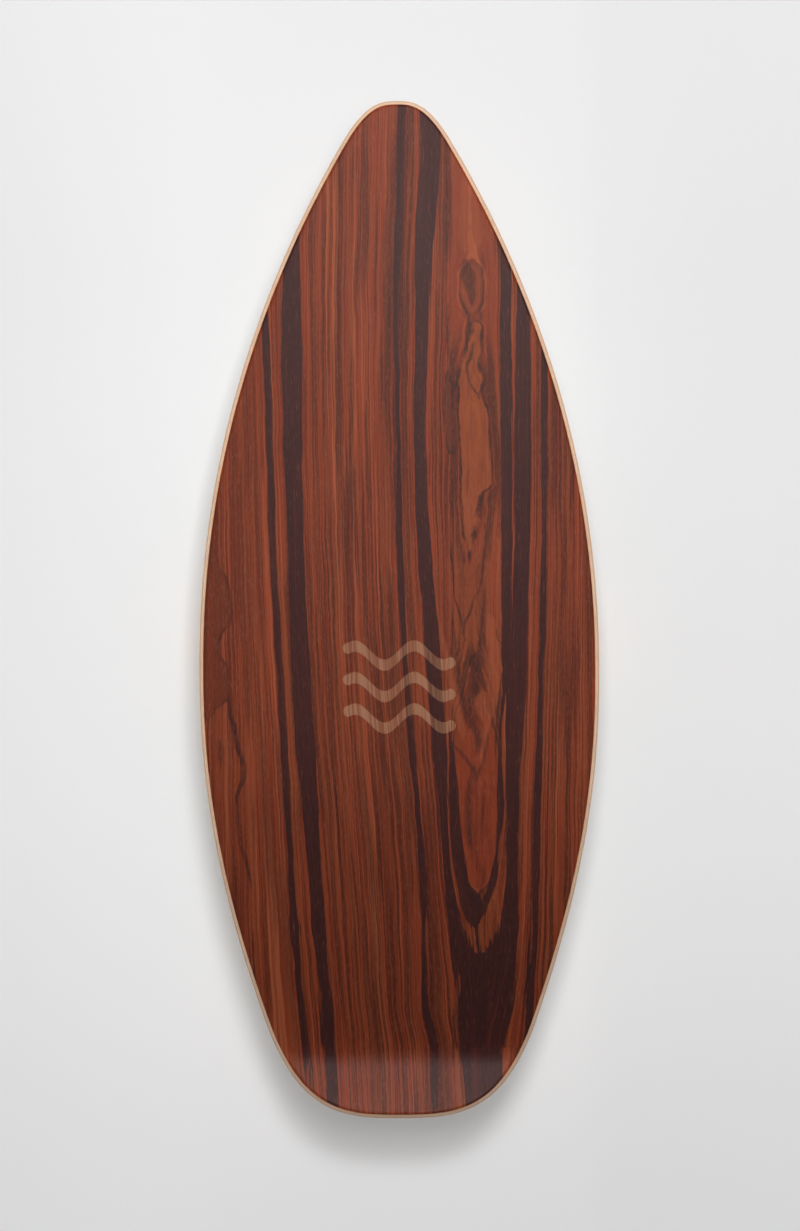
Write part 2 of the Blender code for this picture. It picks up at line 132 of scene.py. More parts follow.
# Floor pads
PAD_INSET = 10 * MM
PAD_ROUNDING = 0.7 * MM
PAD_SUPPORT = 1 * MM
PAD_STEPS = 120
STUD_RADIUS = 1.5 * MM
STUD_TAPER = 0.6
STUD_SIDES = 10
STUD_MARGIN = 3.2 * MM
STUD_RAY = 0.1
WALL_NORMAL = (0.8, 0.7)

# Roller
ROLLER_LOW, ROLLER_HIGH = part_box("roller_sleeve")
ROLLER_RADIUS = (ROLLER_HIGH.z - ROLLER_LOW.z) / 2
ROLLER_CENTRE = (ROLLER_LOW + ROLLER_HIGH) / 2
CORK_BORE = 41.3 * MM
CORK_ROUNDING = 2 * MM
CORK_ROW = 1.5 * MM
CORK_STEPS = 230
CORK_RELIEF = (1 * MM, 0.4 * MM)
TUBE_WALL = 3 * MM
TUBE_CHAMFER = 0.5 * MM
TUBE_STEPS = 128
FILLET_STEPS = 5
DISC_GAP = 0.3 * MM
DISC_SPIGOT = 37.6 * MM
DISC_BORE = 5 * MM
DISC_ROUNDING = 2 * MM
DISC_CHAMFER = 0.8 * MM
DISC_EDGE = 0.4 * MM
DISC_STEPS = 160
DISC_GROOVES = (0.84, 0.4)
GROOVE_HALF_WIDTH = 1.2 * MM
GROOVE_DEPTH = 0.8 * MM
GROOVE_STEPS = 8

# Studio: the floor's half width, a fill panel's middle as a share of its height, and the upward
# directions between which the walls pass into the ceiling
FLOOR_REACH = 40
PANEL_MIDDLE = 0.6
WALL_TOP, CEILING_EDGE = 0.2, 0.3
# A painted tint round the board, which takes red out of the floor to cancel the warm light that the
# board bounces onto it: its length, as a share of the deck's length
BOUNCE_TINT_LENGTH = 0.6

# Photograph
IMAGE_WIDTH = 800
IMAGE_HEIGHT = 1231
DECK_PIXELS = 1017.2
DECK_MIDDLE_PIXEL = (399.0, 608.6)
LEAN_TO_LEFT = 0.00452

# Dark strands of the veneer: (place along the deck, place across it, half width), in millimetres.
# A half width below zero closes a strand's end.
STRANDS = {
    "left_thin": [
        (258, -112, 1.8), (191, -109, 3.2), (41, -105, 2.8), (-76, -98.5, 3), (-160, -94.5, 2.5),
        (-244, -89.5, 2.5), (-327, -83, 2.2), (-419, -74, 1.2),
    ],
    "left_wide": [
        (308, -88.5, 7), (191, -88.5, 8.5), (41, -85.5, 7), (-76, -81, 8.2), (-160, -75.5, 7),
        (-244, -69.5, 5.5), (-327, -62.5, 6), (-419, -57, 4.8),
    ],
    "middle_thin": [
        (425, 4, 3), (342, 2, 3.2), (258, -1, 2.2), (133, 0, 1.8), (41, 1.5, 3), (-35, 4.5, 2.5),
        (-110, 10, 3), (-160, 14.5, 2.5), (-244, 19.5, 3), (-327, 21, 3), (-369, 27.5, 3.5),
        (-419, 29, 1.5),
    ],
    "middle_wide": [
        (425, 22, 4), (392, 28, 8.8), (342, 25, 9), (300, 22, 7.2), (191, 19, 5.2), (133, 18, 5),
        (41, 22, 6), (-10, 26, 6.2), (-110, 33, 5.8), (-160, 36, 3.5), (-202, 38, 3.2), (-244, 42.5, 5),
        (-285, 50, 6.2), (-327, 56, 8.2), (-419, 60, 6),
    ],
    "right_wide": [
        (283, 103, 1.2), (258, 105, 5.5), (174, 104, 6.8), (91, 103.5, 6.8), (15, 102, 6.8),
        (-35, 100.5, 7.2), (-76, 99.5, 5.8), (-160, 95, 4.2), (-202, 94, 4.2), (-244, 92.5, 6),
        (-285, 88.5, 8), (-327, 80, 14), (-369, 70, 15.5), (-419, 66.5, 12.5),
    ],
    "right_thin": [
        (220, 122, 2.2), (174, 122, 2.8), (91, 122, 2.2), (7, 120.5, 2.5), (-76, 118, 2.2),
        (-160, 115, 2.8), (-244, 113, 2.8), (-310, 109.5, 3), (-377, 104.5, 3.5),
    ],
    "tongue_left": [
        (-70, 39, -2), (-131, 43.5, 2.5), (-160, 45, 4), (-202, 48.5, 5), (-227, 52, 4.8), (-244, 59, 9.2),
        (-256, 60, 6.8), (-270, 60, -2),
    ],
    "tongue_right": [
        (-68, 88, 2), (-118, 84, 1), (-160, 84, 3), (-202, 81, 1.2), (-227, 78, 3.2), (-244, 72, 3.2),
        (-254, 68, 2.8), (-266, 63, -1),
    ],
    "mass_left": [
        (-236, 45, -2), (-250, 46, 3), (-268, 48.5, 5.5), (-282, 51.5, 8), (-292, 56, 10), (-304, 62, 13),
        (-327, 68, 18), (-369, 70, 15.5), (-419, 67, 13),
    ],
    "mass_right": [
        (-240, 92, 3), (-268, 88, 7.5), (-282, 84, 10.5), (-292, 79, 13), (-304, 76, 17), (-327, 76, 18),
        (-369, 72, 13.5), (-419, 67, 13),
    ],
}
GUIDES = ("left_thin", "left_wide", "middle_thin", "middle_wide", "right_wide", "right_thin")

# Flame figure between the two wide strands: (place along, left rim, right rim) of its hearts.
# Where the left rim lies right of the right one, there is no heart, and the rings close in a point.
HEARTS = [
    (417, 79.5, 29.5), (342, 74, 44), (300, 68, 53), (288, 62, 62), (283, 55, 68), (272, 53, 69.5),
    (262, 53, 70), (253, 55.5, 69), (246, 61.5, 62), (243, 65, 61), (240, 63, 67), (232.9, 61, 70.8),
    (224.5, 59.5, 69.6), (213.7, 56, 69.5), (203, 53.6, 68.2), (195, 51, 70.3), (190, 49.4, 71.2),
    (182, 50.8, 69.5), (169.4, 50.3, 73.9), (155, 51.2, 76), (133, 51.6, 76.7), (118.4, 51.9, 78),
    (103.3, 52.3, 78.7), (100.6, 52.3, 77), (99.5, 52.4, 72.2), (92.5, 52.5, 69.2), (80.8, 52.9, 67),
    (68.2, 53.2, 65.5), (56.5, 55.3, 64), (46.5, 60.3, 60.3), (16, 64, 50), (-12, 64, 54), (-40, 60, 61),
    (-75, 52, 72), (-100, 46, 79), (-117, 44.9, 81.9), (-143.8, 47.6, 82.1), (-174, 49.4, 81.2),
    (-200.7, 52.1, 80), (-219.6, 55.2, 77.6), (-236.7, 59, 68.1), (-243.3, 63.3, 63.3), (-266, 68, 53),
    (-300, 84.9, 48.1), (-327, 94.5, 44.5), (-419, 102, 36),
]
# The smooth line of the grain round the hearts: (place along, left, right), and its level
SLEEVE = [
    (425, 45, 82), (342, 46, 80), (300, 47, 79), (240, 47, 78), (190, 44, 80), (150, 46, 82),
    (104, 46.5, 84), (46, 46, 80), (-20, 45, 78), (-60, 42, 84), (-100, 42, 86), (-117, 41, 86),
    (-174, 45, 85), (-220, 50, 81), (-243, 56, 74), (-266, 60, 69), (-300, 62, 71), (-419, 64, 69),
]
SLEEVE_LEVEL = 0.85

# Thin dark lines and small dark patches of the flame, as strands
DARK_LINES = {
    "loop_left": [
        (224, 64, -1), (222, 63.3, 1), (209.5, 60.3, 1.6), (202, 57.6, 0.9), (197.8, 57.8, 0.8),
        (190, 59.3, 0.9), (182.2, 63.2, 1), (177, 67, 1.4), (174, 67.5, -1),
    ],
    "loop_right": [
        (194, 74, -0.5), (190.8, 73.4, 0.8), (183.8, 71.1, 1), (178, 67.1, 1.2), (174, 67.5, -1),
    ],
    "hook_left": [(197, 43, -0.5), (190, 44, 1), (184, 47, 1.3), (180, 48, -1)],
    "hook_right": [(203, 54, -0.5), (196, 52, 0.9), (188, 49, 1), (182, 48, -1)],
    "tick": [(49, 54.8, -0.5), (45, 54.8, 1), (39, 54.8, 0.8), (35, 54.8, -0.5)],
    "outer_left": [
        (125, 44.5, -0.6), (108, 45, 0.5), (57, 45.5, 0.6), (16, 45.5, 0.7), (3, 48.5, 0.8), (-10, 52, 1),
        (-20, 53.8, 1.1), (-25, 54, -1),
    ],
    "outer_right": [
        (110, 78, -0.6), (91, 76.5, 0.5), (74, 74.5, 0.6), (41, 71, 0.7), (24, 69.5, 0.8), (7, 62.5, 0.9),
        (-3, 59.5, 1), (-20, 54, 1.1), (-25, 54, -1),
    ],
    "wedge_right": [
        (-14, 81, -0.5), (-26, 82.6, 0.8), (-36, 88, 0.9), (-66, 84.6, 0.8), (-86, 82.6, 1),
        (-113, 80.6, 0.8), (-124, 80, -0.5),
    ],
    "lens": [
        (-140, 84, -1), (-147.6, 84.6, 1.2), (-158.9, 85.1, 2.1), (-170.3, 84.5, 1.6), (-181, 83.5, -0.5),
    ],
    "left_line": [
        (-62, -143, -0.5), (-79, -142.5, 1.2), (-98, -138.5, 1.9), (-116, -135, 2.2), (-138, -131, 2.4),
        (-160, -136, 1.4), (-191, -134, 1.8), (-210, -129, 1.6), (-240, -123, -0.5),
    ],
}

# Blurred dark smoke, as strands
SMOKE = {
    "knot": [
        (294, 57, -2), (286, 57.5, 4.6), (279, 58.5, 6.2), (270, 60, 4.4), (258, 62, 2.4), (250, 62, -2),
    ],
    "beside_knot": [(300, 70.5, -1), (288, 71, 1), (262, 71.5, 1.4), (246, 69, 2), (236, 70, -1)],
    "under_knot": [(268, 52, -1), (258, 53.5, 1.4), (248, 57, 2.2), (240, 60, 1.6), (232, 61, -1)],
    "wedge_left": [
        (-12, 44, -1), (-25, 46, 1.4), (-48, 49, 1.6), (-73, 52.5, 2), (-96.5, 60, 2.4), (-106, 65, 3.5),
        (-116, 66.5, 2.2), (-124, 66, -1),
    ],
    "wedge_middle": [
        (20, 72, -1), (7, 71, 1.4), (-35, 67.5, 2.6), (-44, 64, 7), (-52, 64.5, 4), (-70, 64.5, 3.2),
        (-78, 59, 2), (-96, 60, -1),
    ],
    "point_left": [
        (-106, 41.5, -1), (-115.3, 45, 1.2), (-119, 49.6, 1.6), (-128.6, 57.2, 2), (-136, 62.5, 2.4),
        (-143, 64, -1),
    ],
    "point_right": [
        (-100, 76, -1), (-111.6, 73, 1.2), (-128.6, 69.5, 1.8), (-138, 66, 2.2), (-146, 64.5, -1),
    ],
    "tongue_core": [(-140, 58, -1), (-150, 57.5, 2), (-176, 57.5, 3), (-196, 58.5, 1.8), (-215, 61, -1)],
    "tongue_side": [(-150, 70, -1), (-170, 69.5, 1.6), (-190, 68.5, 1.2), (-208, 68, -1)],
    "left_knot": [
        (-106, -151, -1), (-113, -150.5, 1.6), (-119, -150.3, 2.2), (-126, -150, 1.4), (-134, -150, -1),
    ],
}

# Purple-brown patches with a dark rim, and tawny ones, as strands
PURPLE_PATCHES = {
    "left_edge": [
        (62, -160, -1), (50, -160, 5), (35, -160, 10), (24, -160, 15.5), (2, -160, 19.6), (-9.5, -160, 18),
        (-23.5, -160, 11), (-32, -160, 9.6), (-42, -160, 12), (-51, -160, 16.6), (-71, -160, 16.5),
        (-79, -160, 12.2), (-83, -160, 6.6), (-90, -160, 2.4), (-96, -160, -1),
    ],
    "beside_heart": [(199, 42, -1), (190, 42.3, 2.6), (150, 42.6, 3.3), (135, 43.5, 2.4), (127, 44.5, -1)],
}
TAWNY_PATCHES = {
    "under_tongue": [
        (-215, 84, -1), (-223.4, 83.5, 1.6), (-234.8, 82, 4), (-247, 77, 8), (-258, 69, 15.5),
        (-268, 67.6, 14), (-282, 66.7, 11.5), (-296, 66, 7.5), (-320, 66, -1),
    ],
}
LIGHT_PATCHES = {
    "above_knot": [(372, 60, -1), (357, 59, 5), (335, 60, 8), (311, 61, 10.5), (302, 61, 8), (296, 61, -1)],
    "island": [
        (-69, 69, -2), (-71.5, 69, 5), (-76, 69.5, 6.4), (-84, 70, 5.6), (-92, 70.5, 3.4), (-99, 71, -2),
    ],
    "left_of_wedge": [
        (-10, 34, -1), (-25, 36, 2), (-46, 40.7, 2.4), (-86, 49, 3.4), (-100, 52, 3), (-114, 53, -1),
    ],
    "beside_strand": [
        (64, 83, -1), (45, 84, 1.4), (0, 85.5, 1.8), (-60, 87, 1.8), (-100, 88.5, 1.2), (-125, 88, -1),
    ],
    "right_of_wedge": [
        (-2, 75, -1), (-18, 77, 4), (-43, 79, 5), (-76, 78.5, 4.4), (-93, 74, 3.4), (-114, 70, 3),
        (-134, 67, -1),
    ],
}

# What changes along the deck, as (place along it in millimetres, value): the share of dry, dusty wood,
# how far the hearts open, how ragged the dark strands are, how light the veneer and the plies' rim are,
# and the share of amber. How light the veneer is, is painted light: painted shade that deepens towards the
# tail, and painted light on the kick and the nose. How light the rim is, is painted shade towards the tail.
DRYNESS = [(-425, 0.12), (-200, 0.12), (-130, 0.4), (-50, 0.35), (60, 0.1), (200, 0)]
OPEN_HEARTS = [
    (-130, 1), (-100, 0.7), (-60, 0), (20, 0), (40, 1), (236, 1), (246, 0.35), (290, 0.3), (305, 0.1),
    (425, 0.1),
]
RAGGEDNESS = [(-330, 12), (-300, 20), (-262, 14), (-240, 3), (300, 3)]
VENEER_PAINTED_LIGHT = [
    (-425, 0.94), (-385, 0.83), (-366, 0.7), (-330, 0.62), (-252, 0.69), (-177, 0.76), (-110, 0.91),
    (15, 0.97), (150, 1.0), (258, 1.01), (350, 1.1), (425, 1.22),
]
AMBER = [(-425, 0.7), (-383, 0.8), (-372, 0), (0, 0), (230, 1), (325, 0.9), (400, 0.2), (425, 0)]
PLY_PAINTED_SHADE = [(-425, 0.58), (-350, 0.6), (-240, 0.68), (-90, 0.88), (100, 0.97), (200, 1)]
# The grain's number on each strand of GUIDES and at the deck's right edge, and what the flame adds to it
GRAIN_MARKS = (-105, -86, 1, 22, 22, 42, 90)
FLAME_GRAIN = 34

# The wave motif: its middle along the deck and its soft edge in millimetres, and its stroke, the height
# and length of a wave and the way from row to row as shares of half its width
MOTIF_Y = -65.5
MOTIF_EDGE = 0.4
MOTIF_STROKE, MOTIF_SWING, MOTIF_WAVE, MOTIF_ROW = 0.1, 0.17, 1.05, 0.56

# Painted light on the floor, as (place in millimetres, value) along the deck and across it: painted
# shade that darkens it towards the tail, and painted light that makes its left side lighter than the right
FLOOR_PAINTED_LIGHT_LENGTHWISE = [(-650, 0.9), (-500, 0.92), (-280, 0.975), (-100, 1), (100, 1), (300, 0.98)]
FLOOR_PAINTED_LIGHT_ACROSS = [(-350, 1.04), (-200, 1.06), (-150, 1.05), (150, 1.02), (200, 1), (350, 1.01)]


def screen(red, green, blue):
    """An 8-bit screen colour as the linear colour that a shader takes."""

    def channel(value):
        share = value / 255
        return share / 12.92 if share <= 0.04045 else ((share + 0.055) / 1.055) ** 2.4

    return channel(red), channel(green), channel(blue)


def tinted(colour, *factors):
    """A colour times a number, or times one number for each channel."""
    if len(factors) == 1:
        factors *= 3
    return [c * f for c, f in zip(colour, factors, strict=True)]


def length_of(first, second):
    """The length of two values at right angles."""
    return (first * first + second * second) ** 0.5


def colour_setting(name, description, *shade):
    """A colour that a user can change."""
    return bpy.props.FloatVectorProperty(
        name=name, description=description, subtype="COLOR", size=3, min=0, max=1, default=screen(*shade)
    )


def length_setting(name, description, default):
    """A length that a user can change."""
    return bpy.props.FloatProperty(
        name=name, description=description, subtype="DISTANCE", unit="LENGTH", min=0, default=default
    )


def number_setting(name, description, default):
    """A plain number that a user can change."""
    return bpy.props.FloatProperty(name=name, description=description, default=default)


def power_setting(name, description, default):
    """A lamp's power that a user can change."""
    return bpy.props.FloatProperty(name=name, description=description, unit="POWER", default=default)


def angle_setting(name, description, degrees):
    """An angle that a user can change."""
    return bpy.props.FloatProperty(
        name=name, description=description, subtype="ANGLE", unit="ROTATION", default=math.radians(degrees)
    )


class BALANCE_BOARD_PG_deck(bpy.types.PropertyGroup):
    """Sizes and colours of the deck."""

    edge_radius: length_setting("Edge radius", "Rounding of the deck's rim", 6 * MM)
    kick_length: length_setting("Kick length", "Length of the upturned tail, along the floor", 57.5 * MM)
    kick_bend: length_setting("Kick bend", "Length over which the kick bends up", 17 * MM)
    kick_angle: angle_setting("Kick angle", "Slope of the upturned tail", 15)
    red_brown: colour_setting("Red brown", "Ground colour of the rosewood", 124, 52, 29)
    orange_brown: colour_setting("Orange brown", "Bright streaks of the rosewood", 151, 80, 53)
    purple_brown: colour_setting("Purple brown", "Cool streaks of the rosewood", 97, 38, 24)
    dark: colour_setting("Dark", "Dark strands of the rosewood", 54, 26, 25)
    pale: colour_setting("Pale", "Hearts of the flame figure", 142, 76, 45)
    dust: colour_setting("Dust", "Pale dust in the open grain of the rosewood", 137, 86, 76)
    motif: colour_setting("Motif", "Wood bared by the wave motif", 166, 126, 98)
    motif_width: length_setting("Motif width", "Width of the wave motif", 94 * MM)
    ply_light: colour_setting("Light ply", "Plies whose grain runs along the deck", 218, 183, 154)
    ply_dark: colour_setting("Dark ply", "Plies whose grain runs across the deck", 189, 150, 119)
    birch: colour_setting("Birch", "Veneer on the underside", 218, 194, 162)


class BALANCE_BOARD_PG_fittings(bpy.types.PropertyGroup):
    """Sizes and colours of the pieces under the deck."""

    beech: colour_setting("Beech", "Oiled beech of the stoppers", 205, 160, 115)
    rubber: colour_setting("Rubber", "Strips and pads", 38, 38, 40)
    zinc: colour_setting("Zinc", "Plated screws", 190, 190, 188)
    ribs: bpy.props.IntProperty(name="Ribs", description="Ribs on a bumper strip", default=6, min=1)
    rib_height: length_setting("Rib height", "How far a rib stands out of its strip", 0.9 * MM)
    stud_spacing: length_setting("Stud spacing", "Distance between the studs of a floor pad", 5 * MM)
    stud_height: length_setting("Stud height", "How far a stud stands out of its pad", 0.7 * MM)
    thread_pitch: length_setting("Thread pitch", "Rise of a screw's thread in one turn", 1.8 * MM)


class BALANCE_BOARD_PG_roller(bpy.types.PropertyGroup):
    """Sizes and colours of the roller."""

    cork: colour_setting("Cork", "Granulated cork of the sleeve", 188, 142, 98)
    # Dark cork is also the painted shade in the pits and seams of the cork
    cork_dark: colour_setting("Dark cork", "Bark flecks between the granules", 112, 74, 46)
    granule: length_setting("Granule", "Size of a cork granule", 3.2 * MM)
    relief: length_setting("Relief", "Depth of the pits in the cork", 0.5 * MM)
    disc: colour_setting("Disc", "Turned beech of the end discs", 198, 152, 106)
    tube: colour_setting("Tube", "Plastic of the core tube", 120, 122, 124)


class BALANCE_BOARD_PG_stage(bpy.types.PropertyGroup):
    """Camera, floor and light."""

    lens: bpy.props.FloatProperty(name="Lens", description="Focal length", unit="CAMERA", default=110)
    floor: colour_setting("Floor", "Pale studio floor", 240, 240, 241)
    backdrop: number_setting("Backdrop", "Brightness of the far floor and the backdrop, 1 being white", 0.86)
    clear: length_setting("Clear floor", "How far the floor near the board takes light and shadow", 0.65)
    fade: length_setting("Fade", "Over which the floor passes into the backdrop", 1.1)
    softbox_distance: length_setting("Softbox distance", "From the deck to either softbox", 2.6)
    softbox_right: angle_setting("Softboxes to the right", "How far the softboxes lean to the right", 2)
    softbox_width: length_setting("Softbox width", "Width of either softbox", 0.54)
    gloss_tilt: angle_setting("Gloss tilt", "How far the plain softbox leans from overhead to the nose", 14)
    gloss_length: length_setting("Gloss length", "Length of the plain softbox along the deck", 0.3)
    gloss_power: power_setting("Gloss power", "Power of the plain softbox", 11)
    key_tilt: angle_setting("Key tilt", "How far the polarised softbox leans from overhead to the nose", 10.5)
    key_length: length_setting("Key length", "Length of the polarised softbox along the deck", 0.95)
    key_power: power_setting("Key power", "Power of the polarised softbox, which makes no gloss", 27.5)
    fill_distance: length_setting("Fill distance", "From the deck to each of the four fill panels", 12)
    fill_height: length_setting("Fill height", "Height of a fill panel", 4.5)
    fill_power: power_setting("Fill power", "Power of the fill panels at the sides", 820)
    nose_fill: number_setting("Nose fill", "Power of the panel before the nose, against a side panel's", 1.45)
    tail_fill: number_setting("Tail fill", "Power of the panel behind the tail, against a side panel's", 0.74)
    wall: number_setting("Wall light", "Brightness of the walls behind the panels", 1.3)
    ceiling: number_setting("Ceiling light", "Brightness of the ceiling", 0.05)


class Value:
    """A number socket that takes part in arithmetic: each operator adds a Math node."""

    def __init__(self, graph, socket):
        self.graph = graph
        self.socket = socket

    def __getitem__(self, name):
        """Another output of the same node."""
        return Value(self.graph, self.socket.node.outputs[name])

    def __add__(self, other):
        return self.graph.math("ADD", self, other)

    __radd__ = __add__

    def __sub__(self, other):
        return self.graph.math("SUBTRACT", self, other)

    def __rsub__(self, other):
        return self.graph.math("SUBTRACT", other, self)

    def __mul__(self, other):
        return self.graph.math("MULTIPLY", self, other)

    __rmul__ = __mul__

    def __truediv__(self, other):
        return self.graph.math("DIVIDE", self, other)

    def __pow__(self, other):
        return self.graph.math("POWER", self, other)

    def __abs__(self):
        return self.graph.math("ABSOLUTE", self)

    def at_least(self, other):
        """The greater of two values."""
        return self.graph.math("MAXIMUM", self, other)

    def at_most(self, other):
        """The smaller of two values."""
        return self.graph.math("MINIMUM", self, other)

    def sine(self):
        """The sine of an angle in radians."""
        return self.graph.math("SINE", self)

    def share(self, low, high):
        """0 at the low value and 1 at the high one, straight between them."""
        return self.graph.node(
            "ShaderNodeMapRange", {"clamp": True}, {"Value": self, "From Min": low, "From Max": high}
        )

    def rise(self, low, high):
        """0 below the low value and 1 above the high one, smooth between them."""
        return self.graph.node(
            "ShaderNodeMapRange",
            {"clamp": True, "interpolation_type": "SMOOTHSTEP"},
            {"Value": self, "From Min": low, "From Max": high},
        )


class Graph:
    """Adds nodes to one node tree and links them."""

    def __init__(self, tree):
        self.tree = tree

    def node(self, kind, settings=None, sockets=None, out=0):
        """A node of this kind, with its settings and then its sockets, and one of its outputs."""
        made = self.tree.nodes.new(kind)
        for name, value in (settings or {}).items():
            if name == "stops":
                self.set_stops(made.color_ramp, value)
            elif name == "points":
                self.set_points(made.mapping, value)
            else:
                setattr(made, name, value)
        for key, value in (sockets or {}).items():
            self.feed(made.inputs[key], value)
        return Value(self, made.outputs[out])

    def feed(self, socket, value):
        """Links a value to a socket, or sets the socket to a number."""
        if isinstance(value, Value):
            self.tree.links.new(value.socket, socket)
        else:
            socket.default_value = value

    def set_stops(self, ramp, stops):
        """Gives a colour ramp these (place, colour) stops."""
        while len(ramp.elements) < len(stops):
            ramp.elements.new(1.0)
        for element, (place, colour) in zip(ramp.elements, stops, strict=True):
            element.position = place
            element.color = (*colour, 1)

    def set_points(self, mapping, points):
        """Gives a curve these points."""
        curve = mapping.curves[0]
        while len(curve.points) < len(points):
            curve.points.new(0.5, 0.5)
        for knot, place in zip(curve.points, points, strict=True):
            knot.location = place
            knot.handle_type = "AUTO_CLAMPED"
        mapping.update()

    def math(self, operation, *values):
        """One Math node."""
        return self.node("ShaderNodeMath", {"operation": operation}, dict(enumerate(values)))

    def vector(self, x, y, z=0.0):
        """A vector from three values."""
        return self.node("ShaderNodeCombineXYZ", sockets={0: x, 1: y, 2: z})

    def axes(self, vector):
        """The three values of a vector."""
        first = self.node("ShaderNodeSeparateXYZ", sockets={0: vector})
        return first, first["Y"], first["Z"]

    def scaled(self, vector, factor):
        """A vector or a colour times a number."""
        return self.node("ShaderNodeVectorMath", {"operation": "SCALE"}, {0: vector, "Scale": factor})

    def vector_math(self, operation, first, second):
        """One Vector Math node of two vectors or colours."""
        return self.node("ShaderNodeVectorMath", {"operation": operation}, {0: first, 1: second})

    def noise(self, place, detail=2.0, roughness=0.5):
        """Soft noise about 0.5, one unit across, at a vector or at three values."""
        vector = self.vector(*place) if isinstance(place, tuple) else place
        sockets = {"Vector": vector, "Scale": 1.0, "Detail": detail, "Roughness": roughness}
        return self.node("ShaderNodeTexNoise", sockets=sockets)

    def cells(self, place, feature="F1"):
        """Cells one unit across: the distance, and a colour for each cell."""
        return self.node("ShaderNodeTexVoronoi", {"feature": feature}, {"Vector": place, "Scale": 1.0})

    def along(self, value, points):
        """A smooth curve through (input, output) points, level past its ends."""
        points = sorted(points)
        first, last = points[0][0], points[-1][0]
        low = min(output for _, output in points)
        span = max(max(output for _, output in points) - low, TINY)
        knots = [((at - first) / (last - first), (output - low) / span) for at, output in points]
        curve = self.node("ShaderNodeFloatCurve", {"points": knots}, {"Value": value.share(first, last)})
        return curve * span + low


class Finish(Graph):
    """A material's nodes, with its Principled shader and the place on the piece.

    The place is in metres, and its three values x, y and z are in millimetres.
    """

    def __init__(self, name):
        self.material = bpy.data.materials.new(name)
        self.material.use_nodes = True
        super().__init__(self.material.node_tree)
        self.shader = self.tree.nodes["Principled BSDF"]
        self.place = self.node("ShaderNodeTexCoord", out="Object")
        self.x, self.y, self.z = self.axes(self.scaled(self.place, 1 / MM))

    def blend(self, share, under, over):
        """A colour over another, by a share. A plain colour is a tuple."""
        colours = {6: under, 7: over}
        ready = {key: value if isinstance(value, Value) else (*value, 1) for key, value in colours.items()}
        settings = {"data_type": "RGBA", "clamp_factor": True}
        return self.node("ShaderNodeMix", settings, {0: share, **ready}, out=2)

    def ramp(self, value, *stops):
        """Colours at places along a value."""
        return self.node("ShaderNodeValToRGB", {"stops": stops}, {0: value})

    def done(self, colour, roughness, height=None, depth=0.0, **fixed):
        """Feeds the shader, with a relief of this depth where there is one, and returns the material."""
        self.feed(self.shader.inputs["Base Color"], colour)
        self.feed(self.shader.inputs["Roughness"], roughness)
        if height is not None:
            bump = self.node("ShaderNodeBump", sockets={"Distance": depth, "Height": height})
            self.feed(self.shader.inputs["Normal"], bump)
        for name, value in fixed.items():
            self.shader.inputs[name.replace("_", " ")].default_value = value
        return self.material


class Shape(Graph):
    """A Geometry Nodes tree with named inputs, for one kind of piece."""

    KINDS = {int: "NodeSocketInt", float: "NodeSocketFloat"}

    def __init__(self, name, **inputs):
        super().__init__(bpy.data.node_groups.new(name, "GeometryNodeTree"))
        self.values = inputs
        face = self.tree.interface
        face.new_socket("Geometry", in_out="INPUT", socket_type="NodeSocketGeometry")
        face.new_socket("Geometry", in_out="OUTPUT", socket_type="NodeSocketGeometry")
        face.new_socket("Finish", in_out="INPUT", socket_type="NodeSocketMaterial")
        for label, value in inputs.items():
            face.new_socket(label, in_out="INPUT", socket_type=self.KINDS[type(value)])
        self.given = self.node("NodeGroupInput")
        self.geometry = self.given
        self.place = self.node("GeometryNodeInputPosition")

    def __getitem__(self, label):
        """A named input."""
        return self.given[label]

    def moved(self, geometry, offset):
        """A geometry with its points moved by a vector."""
        return self.node("GeometryNodeSetPosition", sockets={0: geometry, "Offset": offset})

    def part(self, geometry, domain, kept):
        """The faces or points of a geometry that a mask keeps."""
        return self.node("GeometryNodeSeparateGeometry", {"domain": domain}, {0: geometry, 1: kept})

    def tube(self, path, steps, radius, **sockets):
        """A closed tube along a path, with this many steps round it."""
        ring = self.node("GeometryNodeCurvePrimitiveCircle", sockets={"Resolution": steps, "Radius": radius})
        return self.node("GeometryNodeCurveToMesh", sockets={0: path, 1: ring, "Fill Caps": True, **sockets})

    def copies(self, posts, geometry):
        """A geometry on each of the posts."""
        return self.node("GeometryNodeInstanceOnPoints", sockets={0: posts, "Instance": geometry})

    def close(self, *parts):
        """Ends the tree with these geometries as one, in the piece's finish."""
        joined = self.node("GeometryNodeJoinGeometry")
        for part in parts:
            self.tree.links.new(part.socket, joined.socket.node.inputs[0])
        whole = self.node("GeometryNodeRealizeInstances", sockets={0: joined})
        dressed = self.node("GeometryNodeSetMaterial", sockets={0: whole, "Material": self["Finish"]})
        out = self.tree.nodes.new("NodeGroupOutput")
        self.feed(out.inputs[0], dressed)
        return self

    def press(self, obj, finish):
        """Runs the tree on an object and keeps the result as its plain mesh."""
        modifier = obj.modifiers.new(self.tree.name, "NODES")
        modifier.node_group = self.tree
        sockets = {item.name: item.identifier for item in self.tree.interface.items_tree}
        modifier[sockets["Finish"]] = finish
        for label, value in self.values.items():
            modifier[sockets[label]] = value
        return settle(obj)


def add_object(name, data):
    """An object of a mesh, a lamp or a camera, at the origin."""
    obj = bpy.data.objects.new(name, data)
    bpy.context.scene.collection.objects.link(obj)
    return obj


def settle(obj):
    """Keeps an object's evaluated mesh and drops its modifiers."""
    graph = bpy.context.evaluated_depsgraph_get()
    mesh = bpy.data.meshes.new_from_object(obj.evaluated_get(graph))
    obj.modifiers.clear()
    obj.data = mesh
    return obj


def shift(obj, place):
    """Moves an object's mesh, and leaves the object at the origin."""
    obj.data.transform(Matrix.Translation(place))
    return obj


